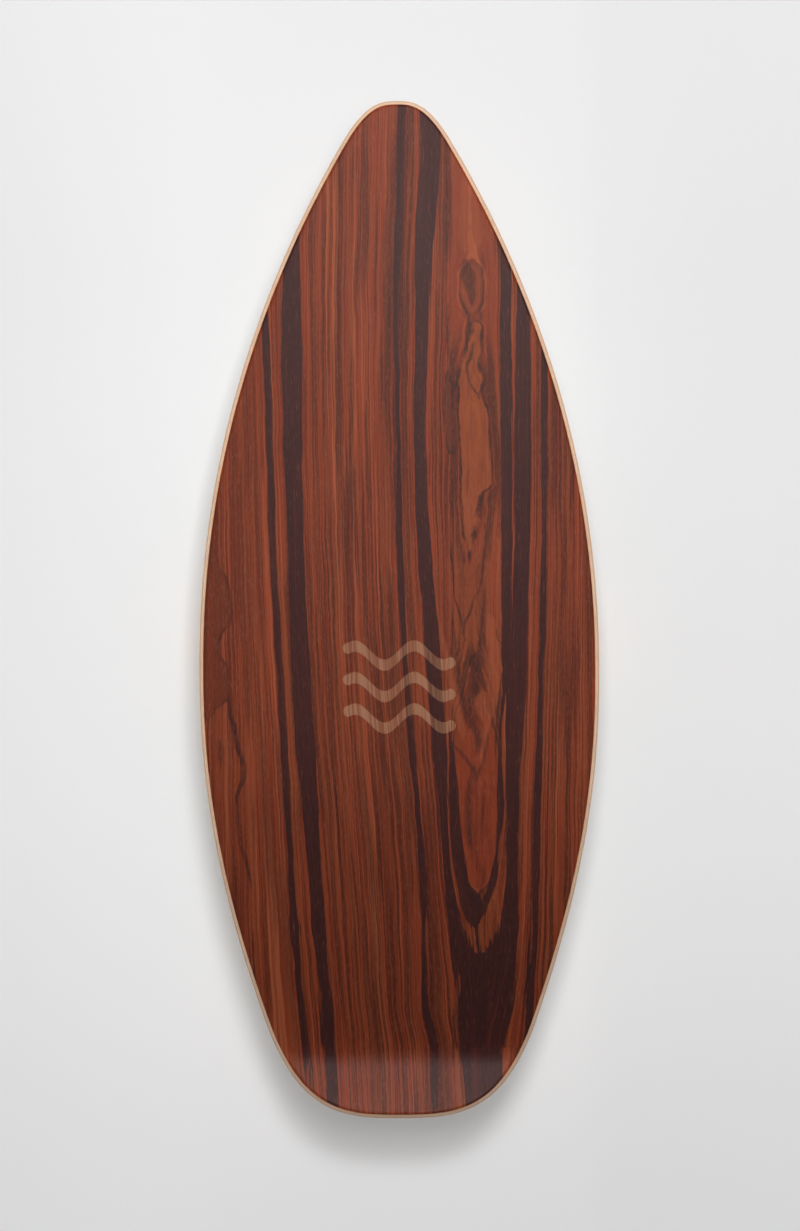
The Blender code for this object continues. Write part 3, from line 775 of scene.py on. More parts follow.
def mesh_of(name, points, faces):
    """A closed mesh, welded and facing outwards."""
    bm = bmesh.new()
    verts = [bm.verts.new(point) for point in points]
    for face in faces:
        corners = list(dict.fromkeys(face))
        if len(corners) > 2:
            bm.faces.new([verts[n] for n in corners])
    bmesh.ops.remove_doubles(bm, verts=bm.verts, dist=TINY)
    bmesh.ops.recalc_face_normals(bm, faces=bm.faces)
    mesh = bpy.data.meshes.new(name)
    bm.to_mesh(mesh)
    bm.free()
    return mesh


def smooth(obj, angle=35):
    """Shades round places smoothly and keeps edges above this many degrees sharp."""
    obj.data.shade_smooth()
    obj.data.set_sharp_from_angle(angle=math.radians(angle))
    return obj


def cut(obj, cutter):
    """Takes a cutter out of an object and removes the cutter."""
    modifier = obj.modifiers.new("hole", "BOOLEAN")
    modifier.operation = "DIFFERENCE"
    modifier.solver = "EXACT"
    modifier.object = cutter
    bpy.context.view_layer.update()
    settle(obj)
    bpy.data.objects.remove(cutter)
    return obj


def seat(obj, node, body):
    """Makes a finished piece stand for its CAD node, on its body."""
    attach(obj, body)
    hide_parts(node)
    return obj


def dress(obj, material):
    """Gives a piece its one material."""
    obj.data.materials.clear()
    obj.data.materials.append(material)
    return obj


def outline_knots():
    """The right side's knots from the nose to the tail: (point, direction, handle before, handle after)."""
    nose_way = Vector((math.sin(NOSE_FLANK_ANGLE), -math.cos(NOSE_FLANK_ANGLE)))
    tail_way = Vector((-math.sin(TAIL_FLANK_ANGLE), -math.cos(TAIL_FLANK_ANGLE)))
    nose_shoulder = Vector((NOSE_SHOULDER[0], NOSE_Y - NOSE_SHOULDER[1]))
    tail_shoulder = Vector((TAIL_SHOULDER[0], TAIL_Y + TAIL_SHOULDER[1]))
    return [
        (Vector((0, NOSE_Y)), Vector((1, 0)), 0, NOSE_TIP_HANDLE),
        (nose_shoulder, nose_way, *NOSE_SHOULDER_HANDLES),
        (Vector((HALF_WIDTH, WIDEST_Y)), Vector((0, -1)), *WIDEST_HANDLES),
        (tail_shoulder, tail_way, *TAIL_SHOULDER_HANDLES),
        (Vector((0, TAIL_Y)), Vector((-1, 0)), TAIL_END_HANDLE, 0),
    ]


def outline_point(place, inset):
    """A point of the right side, drawn in. A place is a knot's number plus a share of the way on."""
    knots = outline_knots()
    number = min(int(place), len(knots) - 2)
    share = place - number
    rest = 1 - share
    (start, way, _, after), (end, end_way, before, _) = knots[number : number + 2]
    leave, arrive = start + way * after, end - end_way * before
    point = rest**3 * start + 3 * rest**2 * share * leave + 3 * rest * share**2 * arrive + share**3 * end
    travel = rest**2 * (leave - start) + 2 * rest * share * (arrive - leave) + share**2 * (end - arrive)
    travel.normalize()
    return point - inset * Vector((-travel.y, travel.x))


def outline_place(at_y, inset):
    """The place where the drawn-in outline passes a point along the deck."""
    low, high = 0.0, float(len(STRETCH_STEPS))
    for _ in range(HALVINGS):
        middle = (low + high) / 2
        low, high = (middle, high) if outline_point(middle, inset).y > at_y else (low, middle)
    return low


def outline_places():
    """Places along the whole right side, close together where it curves."""
    whole = [n + step / steps for n, steps in enumerate(STRETCH_STEPS) for step in range(steps)]
    return [*whole, float(len(STRETCH_STEPS))]


def pad_places(cut_y, way, inset):
    """Places along a pad's right side, which is cut straight behind the nose (way 1) or before the tail."""
    stop = outline_place(cut_y + way * (inset - PAD_INSET), inset)
    first, last = (0.0, stop) if way > 0 else (stop, float(len(STRETCH_STEPS)))
    return [first + (last - first) * n / PAD_STEPS for n in range(PAD_STEPS + 1)]


def plate(name, rings, pad_cut=None):
    """A closed plate of the deck's outline, from (inset, height) rings, lowest first.

    A pad's cut is (place along the deck, way).
    """
    points, faces = [], []
    for inset, height in rings:
        places = pad_places(*pad_cut, inset) if pad_cut else outline_places()
        right = [outline_point(place, inset) for place in places]
        ring = right + [Vector((-point.x, point.y)) for point in reversed(right) if point.x > ON_AXIS]
        points.extend((point.x, point.y, height) for point in ring)
    count = len(ring)
    offset = 0 if right[0].x < ON_AXIS else 1
    for number in range(len(rings) - 1):
        low, high = number * count, (number + 1) * count
        for n in range(count):
            following = (n + 1) % count
            faces.append((low + n, low + following, high + following, high + n))
    for base in (0, (len(rings) - 1) * count):
        for n in range(len(right) - 1):
            left, next_left = ((count - offset - m) % count for m in (n, n + 1))
            faces.append((base + n, base + n + 1, base + next_left, base + left))
    return mesh_of(name, points, faces)


def rim_rings(low, high, radius):
    """(inset, height) rings of a layer between two heights of the laminate's rounded rim."""
    straight = DECK_THICKNESS - radius
    steps = range(int(math.pi / 2 / RIM_STEP))
    upper = [straight + radius * math.sin(RIM_STEP * n) for n in steps]
    lower = [DECK_THICKNESS - height for height in upper]
    between = sorted(height for height in upper + lower if low + ON_AXIS < height < high - ON_AXIS)
    rings = []
    for height in (low, *between, high):
        over = max(radius - height, height - straight, 0)
        rings.append((radius - math.sqrt(radius**2 - over**2), height))
    return [(rings[0][0] + RIM_SUPPORT, low), *rings, (rings[-1][0] + RIM_SUPPORT, high)]


def turned(name, profile, steps, axis="Z"):
    """A mesh turned from (radius, height) points. A profile that stays off the axis is closed on itself."""
    loop = profile[0][0] > 0
    points = [
        (radius * math.cos(math.tau * n / steps), radius * math.sin(math.tau * n / steps), height)
        for n in range(steps)
        for radius, height in profile
    ]
    size = len(profile)
    last = size if loop else size - 1
    faces = [
        (n * size + m, (n + 1) % steps * size + m, (n + 1) % steps * size + (m + 1) % size,
         n * size + (m + 1) % size)
        for n in range(steps)
        for m in range(last)
    ]
    mesh = mesh_of(name, points, faces)
    if axis == "X":
        mesh.transform(Matrix.Rotation(math.pi / 2, 4, "Y"))
    return mesh


def fillet(centre, radius, start, end):
    """Profile points round a corner, by angle in degrees from the outward direction."""
    angles = [math.radians(start + (end - start) * n / FILLET_STEPS) for n in range(FILLET_STEPS + 1)]
    return [(centre[0] + radius * math.cos(a), centre[1] + radius * math.sin(a)) for a in angles]


def screw_nodes():
    """The CAD nodes of the screws."""
    return sorted(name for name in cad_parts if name.startswith("screw_"))


def screw_holes(mouth=0.0):
    """One cutter of all the screws' holes, which starts this far before their heads."""
    gap = SCREW_CLEARANCE
    bm = bmesh.new()
    for name in screw_nodes():
        low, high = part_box(name)
        length, head = high.z - low.z, (high.x - low.x) / 2
        shank = head / 2
        profile = [
            (0, -mouth), (head + gap, -mouth), (head + gap, SCREW_HEAD_RIM + gap),
            (shank + gap, SCREW_HEAD_RIM + head - shank + gap), (shank + gap, length - SCREW_TIP + gap),
            (0, length + gap),
        ]
        mesh = turned("hole", profile, HOLE_STEPS)
        mesh.transform(Matrix.Translation(((low.x + high.x) / 2, (low.y + high.y) / 2, low.z)))
        bm.from_mesh(mesh)
    holes = bpy.data.meshes.new("screw_holes")
    bm.to_mesh(holes)
    bm.free()
    return add_object("screw_holes", holes)


def rounded_slab(name, length, width, height, rounding, round_ends=0, steps=4):
    """A bar along X with rounded edges, and half-round ends where asked for."""
    outline = []
    if round_ends:
        radius = width / 2
        for side in (1, -1):
            for n in range(round_ends + 1):
                angle = math.pi * n / round_ends
                reach = length / 2 - radius + radius * math.sin(angle)
                outline.append((side * reach, side * radius * math.cos(angle)))
    else:
        outline = [(x * length / 2, y * width / 2) for x, y in ((1, 1), (1, -1), (-1, -1), (-1, 1))]
    count = len(outline)
    points = [(x, y, z) for z in (-height / 2, height / 2) for x, y in outline]
    faces = [(n, (n + 1) % count, count + (n + 1) % count, count + n) for n in range(count)]
    faces += [tuple(range(count)), tuple(range(count, 2 * count))]
    obj = add_object(name, mesh_of(name, points, faces))
    bevel = obj.modifiers.new("rounding", "BEVEL")
    bevel.width = rounding
    bevel.segments = steps
    bevel.limit_method = "ANGLE"
    bevel.angle_limit = BEVEL_ANGLE
    return settle(obj)


def middle_of(low, high):
    """The middle of a box."""
    return (low + high) / 2


def strand_masks(paint, x, y, strands, ragged, soft):
    """Where any of these strands lies: 1 inside it, 0 outside, with a ragged edge."""
    mask = 0.0
    for strand in strands.values():
        centre = paint.along(y, [(at, across) for at, across, _ in strand])
        half = paint.along(y, [(at, width) for at, _, width in strand])
        mask = (half + ragged - abs(x - centre)).rise(-soft, soft).at_least(mask)
    return mask


def grain_lines(paint, grain, y, size, width, seed):
    """Thin lines along the grain, which come and go: 1 on a line and 0 beside it."""
    meeting = abs(paint.noise((grain / size, y / 800, seed), 1) - 0.5)
    strength = paint.noise((grain / size / 2, y / 150, seed + 3), 1).rise(0.42, 0.6)
    return (width - meeting).rise(-0.02, 0.02) * strength


def rosewood_veneer(deck):
    """Striped rosewood under satin lacquer, with dark strands, a flame figure and a bared wave motif."""
    paint = Finish("rosewood_veneer")
    y = paint.y
    x = paint.x + (paint.noise((paint.x / 24, y / 36, 3.1)) - 0.5) * 3
    grain, level = grain_coordinate(paint, x, y)

    # Streaks: colour bands of a few millimetres, finer ones inside them, and fibres
    broad = paint.noise((grain / 7, y / 600, 1.3))
    bands = paint.noise((grain / 1.9, y / 420, 5.9))
    fibre = paint.noise((grain / 0.7, y / 70, 3.6))
    mixture = broad * 0.36 + bands * 0.5 + fibre * 0.14
    colour = paint.ramp(
        mixture,
        (0.35, tinted(deck.purple_brown, 0.8)),
        (0.41, deck.purple_brown),
        (0.46, deck.red_brown),
        (0.54, tinted(deck.red_brown, 1.1)),
        (0.62, deck.orange_brown),
    )
    tawny = tinted(deck.red_brown, 0.95, 1.35, 1.3)
    hue = paint.noise((grain / 3.7, y / 300, 8.3)).rise(0.52, 0.58)
    colour = paint.blend(hue * 0.55, colour, tawny)
    dry = tinted(deck.red_brown, 1.05, 1.75, 2.1)
    colour = paint.blend(fibre.rise(0.3, 0.72) * paint.along(y, DRYNESS), colour, dry)

    # Crisp dark lines. The finest keep out of the flame, and all fade at its nose end and to the left.
    lines = grain_lines(paint, grain, y, 1.5, 0.05, 3.3) * (1 - level.rise(0.25, 0.6))
    for size, width, seed in ((2.4, 0.05, 9.2), (4.3, 0.05, 4.7), (7.5, 0.04, 6.4)):
        lines = grain_lines(paint, grain, y, size, width, seed).at_least(lines)
    lines = lines * (1 - level.rise(0.7, 0.95) * y.rise(234, 250) * 0.75)
    ink = tinted(deck.dark, 0.95, 0.8, 0.55)
    colour = paint.blend(lines * (0.68 - x.rise(-50, -90) * 0.15), colour, ink)

    # The flame's hearts, pale towards the nose, each with a dark rim
    lit = y.rise(-60, 60)
    smoke = paint.noise((x / 5, y / 26, 5.1), 4)
    wisps = paint.noise((x / 2.2, y / 75, 7.3), 3)
    heartwood = paint.blend(lit, tinted(deck.red_brown, 1.1), deck.pale)
    heartwood = paint.blend(fibre.rise(0.3, 0.7) * 0.35 + lines * 0.2, heartwood, deck.red_brown)
    heartwood = paint.blend(smoke.rise(0.46, 0.7) * (0.55 - lit * 0.25), heartwood, deck.purple_brown)
    heartwood = paint.blend(wisps.rise(0.46, 0.68) * (0.45 - lit * 0.3), heartwood, deck.purple_brown)
    open_ends = paint.along(y, OPEN_HEARTS)
    heart = level.rise(0.985, 1.03) * open_ends
    colour = paint.blend(heart * 0.9, colour, heartwood)
    worn = paint.noise((x / 7, y / 18, 2.2), 3).rise(0.36, 0.6)
    rim = (0.02 - abs(level - 1)).rise(-0.02, 0.012) * open_ends
    colour = paint.blend(rim * worn * 0.9, colour, deck.dark)

    # Patches, smoke and dark strands, the more ragged the nearer the tail
    ragged = (paint.noise((grain / 2.2, y / 50, 4.4), 3) - 0.5) * paint.along(y, RAGGEDNESS)
    torn = (smoke - 0.5) * 7 + ragged
    purple = strand_masks(paint, x, y, PURPLE_PATCHES, torn, 2)
    plum = tinted(deck.purple_brown, 0.75, 1.15, 1.35)
    smoky = paint.blend(wisps.rise(0.3, 0.6) * 0.8, tinted(deck.red_brown, 0.72), plum)
    colour = paint.blend(purple * 0.9, colour, smoky)
    colour = paint.blend((purple * (1 - purple) * 4).at_most(1) * (worn * 0.5 + 0.3), colour, deck.dark)
    streaks = paint.noise((grain / 1.6, y / 140, 6.1), 3)
    tan = paint.blend(wisps.rise(0.42, 0.62) * 0.75, tinted(tawny, 1.1), deck.purple_brown)
    colour = paint.blend(strand_masks(paint, x, y, TAWNY_PATCHES, ragged, 1.4) * 0.8, colour, tan)
    light = paint.blend(wisps.rise(0.4, 0.65) * 0.5, deck.orange_brown, deck.red_brown)
    colour = paint.blend(strand_masks(paint, x, y, LIGHT_PATCHES, torn * 0.6, 1.8) * 0.45, colour, light)
    colour = paint.blend(strand_masks(paint, x, y, SMOKE, torn * 0.6, 2.6) * 0.72, colour, deck.dark)
    darkwood = paint.blend(streaks.rise(0.5, 0.75) * 0.45, deck.dark, deck.purple_brown)
    dark = strand_masks(paint, x, y, STRANDS, ragged, 0.5)
    colour = paint.blend(dark * 0.96, colour, darkwood)
    thin = strand_masks(paint, x, y, DARK_LINES, ragged * 0.5, 0.8)
    colour = paint.blend(thin * (worn * 0.45 + 0.45), colour, deck.dark)

    # Pores, short dashes along the grain, and painted light: painted shade that deepens towards the tail,
    # with painted light on the kick and the nose
    pores = paint.noise((x / 0.45, y / 8, 2.7), 2, 0.6).rise(0.64, 0.74)
    flecks = paint.noise((x / 0.6, y / 11, 9.4), 1).rise(0.64, 0.78)
    colour = paint.blend(flecks * 0.34, colour, tinted(dry, 1.3))
    dust = paint.noise((x / 0.8, y / 5, 6.6)).rise(0.5, 0.7)
    colour = paint.blend(dust * (0.24 - dark * 0.16), colour, deck.dust)
    painted_light = paint.along(y, VENEER_PAINTED_LIGHT)
    mottle = paint.noise((x / 30, y / 120, 8.8), 3) * 0.24 + 0.88
    colour = paint.scaled(colour, painted_light * mottle * (1 - pores * 0.22))
    plain = paint.blend(dark, (1.05, 0.97, 0.83), (0.95, 0.93, 0.92))
    toning = paint.blend(paint.along(y, AMBER) * (1 - dark * 0.85), plain, (1.03, 0.85, 0.5))
    colour = paint.vector_math("MULTIPLY", colour, toning)

    motif = wave_motif(paint, deck)
    bared = paint.scaled(paint.blend(lines * 0.5 + fibre * 0.3, deck.motif, deck.red_brown), painted_light)
    colour = paint.blend(motif * (0.75 - 0.3 * dark), colour, bared)
    height = 1 - pores * 0.7 - lines * 0.3 - motif * 0.5
    return paint.done(colour, motif * 0.1 + pores * 0.1 + 0.37, height, 0.03 * MM, Specular_IOR_Level=0.2)


def grain_coordinate(paint, x, y):
    """A number that keeps its value along every line of the grain, and the level of the flame figure.

    The level is 0 on the two strands beside the flame and 1 on the rims of its hearts.
    """
    centres = {name: paint.along(y, [(at, across) for at, across, _ in STRANDS[name]]) for name in GUIDES}
    edge = HALF_WIDTH / MM
    stations = [-edge, *(centres[name] for name in GUIDES), edge]
    marks = [-edge, *GRAIN_MARKS]
    grain = -edge
    for left, right, mark, next_mark in zip(stations[:-1], stations[1:], marks[:-1], marks[1:], strict=True):
        if next_mark > mark:
            grain = ((x - left) / (right - left)).share(0, 1) * (next_mark - mark) + grain
    sides = []
    for side, strand in ((1, "middle_wide"), (2, "right_wide")):
        rim, sleeve = (paint.along(y, [(row[0], row[side]) for row in rows]) for rows in (HEARTS, SLEEVE))
        outer = ((x - centres[strand]) / (sleeve - centres[strand])).share(0, 1) * SLEEVE_LEVEL
        inner = ((x - sleeve) / (rim - sleeve)).at_least(0) * (1 - SLEEVE_LEVEL)
        sides.append(outer + inner)
    level = sides[0].at_most(sides[1])
    ripple = paint.noise((x / 5, y / 14, 7.7), 4) - 0.5
    level = level + ripple * level.rise(SLEEVE_LEVEL - 0.1, 1) * 0.09
    return grain + level * FLAME_GRAIN, level


def wave_motif(paint, deck):
    """Three stacked wave strokes with round ends, bared in the lacquer at the middle of the deck."""
    half = deck.motif_width / MM / 2
    stroke = half * MOTIF_STROKE
    inner = paint.x.at_least(stroke - half).at_most(half - stroke)
    swing = (inner * (math.tau / (half * MOTIF_WAVE))).sine() * (half * MOTIF_SWING)
    mask = 0.0
    for row in (-1, 0, 1):
        off_y = paint.y - (MOTIF_Y + row * half * MOTIF_ROW) - swing
        mask = (stroke - length_of(paint.x - inner, off_y)).rise(-MOTIF_EDGE, MOTIF_EDGE).at_least(mask)
    return mask


def birch_ply(deck, number):
    """The rim of one ply: side grain on plies that run along the deck, end grain on those across it."""
    runs_along = number % 2 == 1
    paint = Finish(f"birch_ply_{number}")
    wide, tall = (0.35, 9) if runs_along else (9, 0.35)
    fibre = paint.noise((paint.x / wide, paint.y / tall, paint.z / 0.3 + number), 3)
    cloud = paint.noise((paint.x / 34, paint.y / 34, number))
    side_grain, end_grain = (deck.ply_dark, deck.ply_light), (tinted(deck.ply_dark, 0.86), deck.ply_dark)
    share = fibre.rise(0.3, 0.62) * 0.75 + cloud.rise(0.35, 0.65) * 0.25
    colour = paint.blend(share, *(side_grain if runs_along else end_grain))
    # Painted shade: the rim darkens towards the tail
    colour = paint.scaled(colour, paint.along(paint.y, PLY_PAINTED_SHADE))
    return paint.done(colour, 0.5 - fibre * 0.12, fibre, 0.05 * MM)


def birch_face(deck):
    """Rotary-cut birch on the underside, with faint wide figure."""
    paint = Finish("birch_face")
    x, y = paint.x, paint.y
    sway = (paint.noise((x / 70, y / 160, 0.4)) - 0.5) * 46
    growth = paint.noise(((x + sway) / 8, y / 300, 5.0))
    fibre = paint.noise((x / 0.5, y / 14, 8.1))
    fleck = paint.noise((x / 0.9, y / 5, 3.3), 1).rise(0.68, 0.76)
    tan = tinted(deck.birch, 0.84, 0.74, 0.62)
    colour = paint.blend(growth.rise(0.35, 0.7) * 0.6 + fibre.rise(0.4, 0.7) * 0.25, deck.birch, tan)
    colour = paint.blend(fleck * 0.45, colour, tinted(tan, 0.5))
    return paint.done(colour, 0.42 + fibre * 0.1, fibre - fleck * 0.5, 0.04 * MM)


def beech(name, ground, along):
    """Oiled beech whose grain runs along X or Z: soft growth lines and short dark ray flecks."""
    paint = Finish(name)
    x, y, z = paint.x, paint.y, paint.z
    side, over, down = (y, z, x) if along == "X" else (x, y, z)
    sway = (paint.noise((side / 30, over / 30, down / 110)) - 0.5) * 9
    growth = paint.noise(((side + sway) / 2.2, (over + sway) / 14, down / 160), 3)
    fibre = paint.noise((side / 0.35, over / 0.35, down / 9))
    fleck = paint.noise((side / 0.28, over / 0.9, down / 2.6), 1).rise(0.66, 0.74)
    dark = tinted(ground, 0.72, 0.6, 0.5)
    colour = paint.blend(growth.rise(0.36, 0.66) * 0.6 + fibre * 0.2, ground, dark)
    colour = paint.blend(fleck * 0.55, colour, tinted(dark, 0.6))
    return paint.done(colour, 0.44 + fibre * 0.14 - fleck * 0.06, fibre - fleck * 0.6, 0.05 * MM)


def black_rubber(fittings):
    """Moulded rubber, dusty in places."""
    paint = Finish("black_rubber")
    grain = paint.noise(paint.scaled(paint.place, 2200), 3)
    dust = paint.noise(paint.scaled(paint.place, 60), 4).rise(0.42, 0.72)
    grey = [c * 2.4 + 0.01 for c in fittings.rubber]
    colour = paint.blend(dust * 0.45 + grain * 0.15, fittings.rubber, grey)
    return paint.done(colour, 0.62 + dust * 0.2, grain, 0.06 * MM)


def zinc_steel(fittings):
    """Zinc-plated steel, a little cloudy, with fine tool marks."""
    paint = Finish("zinc_steel")
    cloud = paint.noise(paint.scaled(paint.place, 500), 3)
    marks = paint.noise((paint.x * 1.4, paint.y * 1.4, paint.z * 12))
    yellowed = tinted(fittings.zinc, 1, 0.96, 0.84)
    colour = paint.blend(cloud.rise(0.4, 0.65) * 0.6, fittings.zinc, yellowed)
    return paint.done(colour, 0.24 + cloud * 0.16 + marks * 0.08, marks, 0.01 * MM, Metallic=1.0)


def cork_pits(graph, place, fineness):
    """Pits and open seams between cork granules, 1 at their deepest, for a place from the roller's middle.

    The fineness is how many granules there are to a metre.
    """
    cells = graph.cells(graph.scaled(place, fineness), "DISTANCE_TO_EDGE")
    seams = cells.rise(0.09, 0.0)
    holes = graph.noise(graph.scaled(place, fineness * 0.42)).rise(0.62, 0.75)
    return seams * 0.45 + holes * 0.8


def cork(roller):
    """Pressed cork granules in mixed tans, with bark flecks, and pits and seams painted dark as shade."""
    paint = Finish("cork")
    place = paint.vector_math("SUBTRACT", paint.place, ROLLER_CENTRE)
    fineness = 1 / roller.granule
    grains = paint.cells(paint.scaled(place, fineness))
    kind, speck, _ = paint.axes(grains["Color"])
    fine = paint.noise(paint.scaled(place, 2600.0), 3)
    light = tinted(roller.cork, 1.22, 1.25, 1.3)
    colour = paint.ramp(
        kind, (0.0, tinted(roller.cork, 0.72)), (0.35, roller.cork), (0.75, light), (1.0, roller.cork)
    )
    colour = paint.blend(speck.rise(0.84, 0.9) * 0.8, colour, roller.cork_dark)
    pits = cork_pits(paint, place, fineness)
    # The pits and seams are painted dark: partly the seams' own dark, partly painted shade in the hollows
    colour = paint.blend(pits.rise(0.1, 0.8) * 0.75, colour, roller.cork_dark)
    colour = paint.scaled(colour, fine * 0.4 + 0.8)
    return paint.done(colour, 0.8 + fine * 0.1, fine - pits, 0.12 * MM)


def tube_plastic(roller):
    """Extruded plastic with faint draw lines along the tube."""
    paint = Finish("tube_plastic")
    draw = paint.noise((paint.x / 125, paint.y * 0.9, paint.z * 0.9))
    colour = paint.blend(draw.rise(0.3, 0.7) * 0.5, roller.tube, tinted(roller.tube, 0.8))
    return paint.done(colour, 0.42 + draw * 0.1, draw, 0.02 * MM)


def kick_shape(deck):
    """Presses the kick up: the slope grows evenly through the bend and is straight behind it."""
    start = TAIL_Y + deck.kick_length
    shape = Shape("pressed_kick", Start=start, Bend=deck.kick_bend, Slope=math.tan(deck.kick_angle))
    _, y, _ = shape.axes(shape.place)
    past = (shape["Start"] - y).at_least(0)
    bent = past.at_most(shape["Bend"]) ** 2 / (shape["Bend"] * 2)
    rise = (bent + (past - shape["Bend"]).at_least(0)) * shape["Slope"]
    return shape.close(shape.moved(shape.geometry, shape.vector(0, 0, rise)))


def rib_shape(fittings, length, height, face_y, middle_z, way):
    """Lays half-round ribs along a bumper strip's face, one above the other."""
    spacing = height / fittings.ribs
    shape = Shape(
        "strip_ribs", Count=fittings.ribs, Length=length, Spacing=spacing, Radius=spacing * RIB_RADIUS_SHARE,
        Proud=fittings.rib_height * way, Face=face_y, Middle=middle_z,
    )
    ends = {n: shape.vector(shape["Length"] * share, 0, 0) for n, share in enumerate((-0.5, 0.5))}
    line = shape.node("GeometryNodeCurvePrimitiveLine", sockets=ends)
    rod = shape.tube(line, RIB_STEPS, shape["Radius"])
    scale = shape.vector(1, abs(shape["Proud"]) / shape["Radius"], 1)
    flat = shape.node("GeometryNodeTransform", sockets={0: rod, "Scale": scale})
    first = shape["Middle"] - shape["Spacing"] * (shape["Count"] - 1) * 0.5
    start, step = shape.vector(0, shape["Face"], first), shape.vector(0, 0, shape["Spacing"])
    sockets = {"Count": shape["Count"], "Start Location": start, "Offset": step}
    posts = shape.node("GeometryNodeMeshLine", sockets=sockets)
    return shape.close(shape.geometry, shape.copies(posts, flat))


def stud_shape(fittings, size, middle):
    """Covers a floor pad's underside with low studs on a grid, clear of its rim.

    A ray from each post finds the pad above it, and the pad's walls are its faces that look sideways.
    """
    shape = Shape(
        "pad_studs", Spacing=fittings.stud_spacing, Height=fittings.stud_height, Radius=STUD_RADIUS,
        Margin=STUD_MARGIN, Width=size.x, Depth=size.y, Middle=middle.y, Below=middle.z - size.z,
    )
    sides = [shape["Width"], shape["Depth"]]
    counts = [side / shape["Spacing"] + 1 for side in sides]
    grid = shape.node("GeometryNodeMeshGrid", sockets=dict(enumerate(sides + counts)))
    posts = shape.moved(grid, shape.vector(0, shape["Middle"], shape["Below"]))
    upward = {"Target Geometry": shape.geometry, "Ray Direction": (0, 0, 1), "Ray Length": STUD_RAY}
    ray = shape.node("GeometryNodeRaycast", sockets=upward)
    normal_z = shape.axes(shape.node("GeometryNodeInputNormal"))[2]
    walls = shape.part(shape.geometry, "FACE", abs(normal_z).rise(*WALL_NORMAL))
    near = shape.node("GeometryNodeProximity", sockets={"Geometry": walls}, out="Distance")
    over_pad = shape.part(posts, "POINT", ray["Is Hit"])
    landed = shape.node("GeometryNodeSetPosition", sockets={0: over_pad, "Position": ray["Hit Position"]})
    clear = shape.part(landed, "POINT", shape.math("GREATER_THAN", near, shape["Margin"]))
    sockets = {
        "Vertices": STUD_SIDES, "Radius Top": shape["Radius"],
        "Radius Bottom": shape["Radius"] * STUD_TAPER, "Depth": shape["Height"],
    }
    stud = shape.node("GeometryNodeMeshCone", sockets=sockets)
    hung = shape.moved(stud, shape.vector(0, 0, shape["Height"] * -1))
    return shape.close(shape.geometry, shape.copies(clear, hung))


def thread_shape(fittings, start, length, radius):
    """Winds a thread round a screw's shank, fading out at both ends."""
    shape = Shape(
        "screw_thread", Pitch=fittings.thread_pitch, Start=start, Length=length, Radius=radius,
        Ridge=THREAD_RIDGE,
    )
    sockets = {
        "Resolution": THREAD_STEPS, "Rotations": shape["Length"] / shape["Pitch"],
        "Start Radius": shape["Radius"], "End Radius": shape["Radius"], "Height": shape["Length"],
    }
    helix = shape.node("GeometryNodeCurveSpiral", sockets=sockets)
    along = shape.node("GeometryNodeSplineParameter")
    fade = (along * (1 - along) * THREAD_FADE).at_most(1)
    wound = shape.tube(helix, THREAD_SIDES, shape["Ridge"], Scale=fade)
    return shape.close(shape.geometry, shape.moved(wound, shape.vector(0, 0, shape["Start"])))


def cork_shape(roller):
    """Sinks the pits and seams of the cork into the sleeve's outer face."""
    shape = Shape("cork_relief", Granule=roller.granule, Depth=roller.relief, Radius=ROLLER_RADIUS)
    _, y, z = shape.axes(shape.place)
    outer = (shape["Radius"] - length_of(y, z)).rise(*CORK_RELIEF)
    depth = cork_pits(shape, shape.place, shape["Granule"] ** -1) * outer * shape["Depth"] * -1
    normal = shape.node("GeometryNodeInputNormal")
    return shape.close(shape.moved(shape.geometry, shape.scaled(normal, depth)))


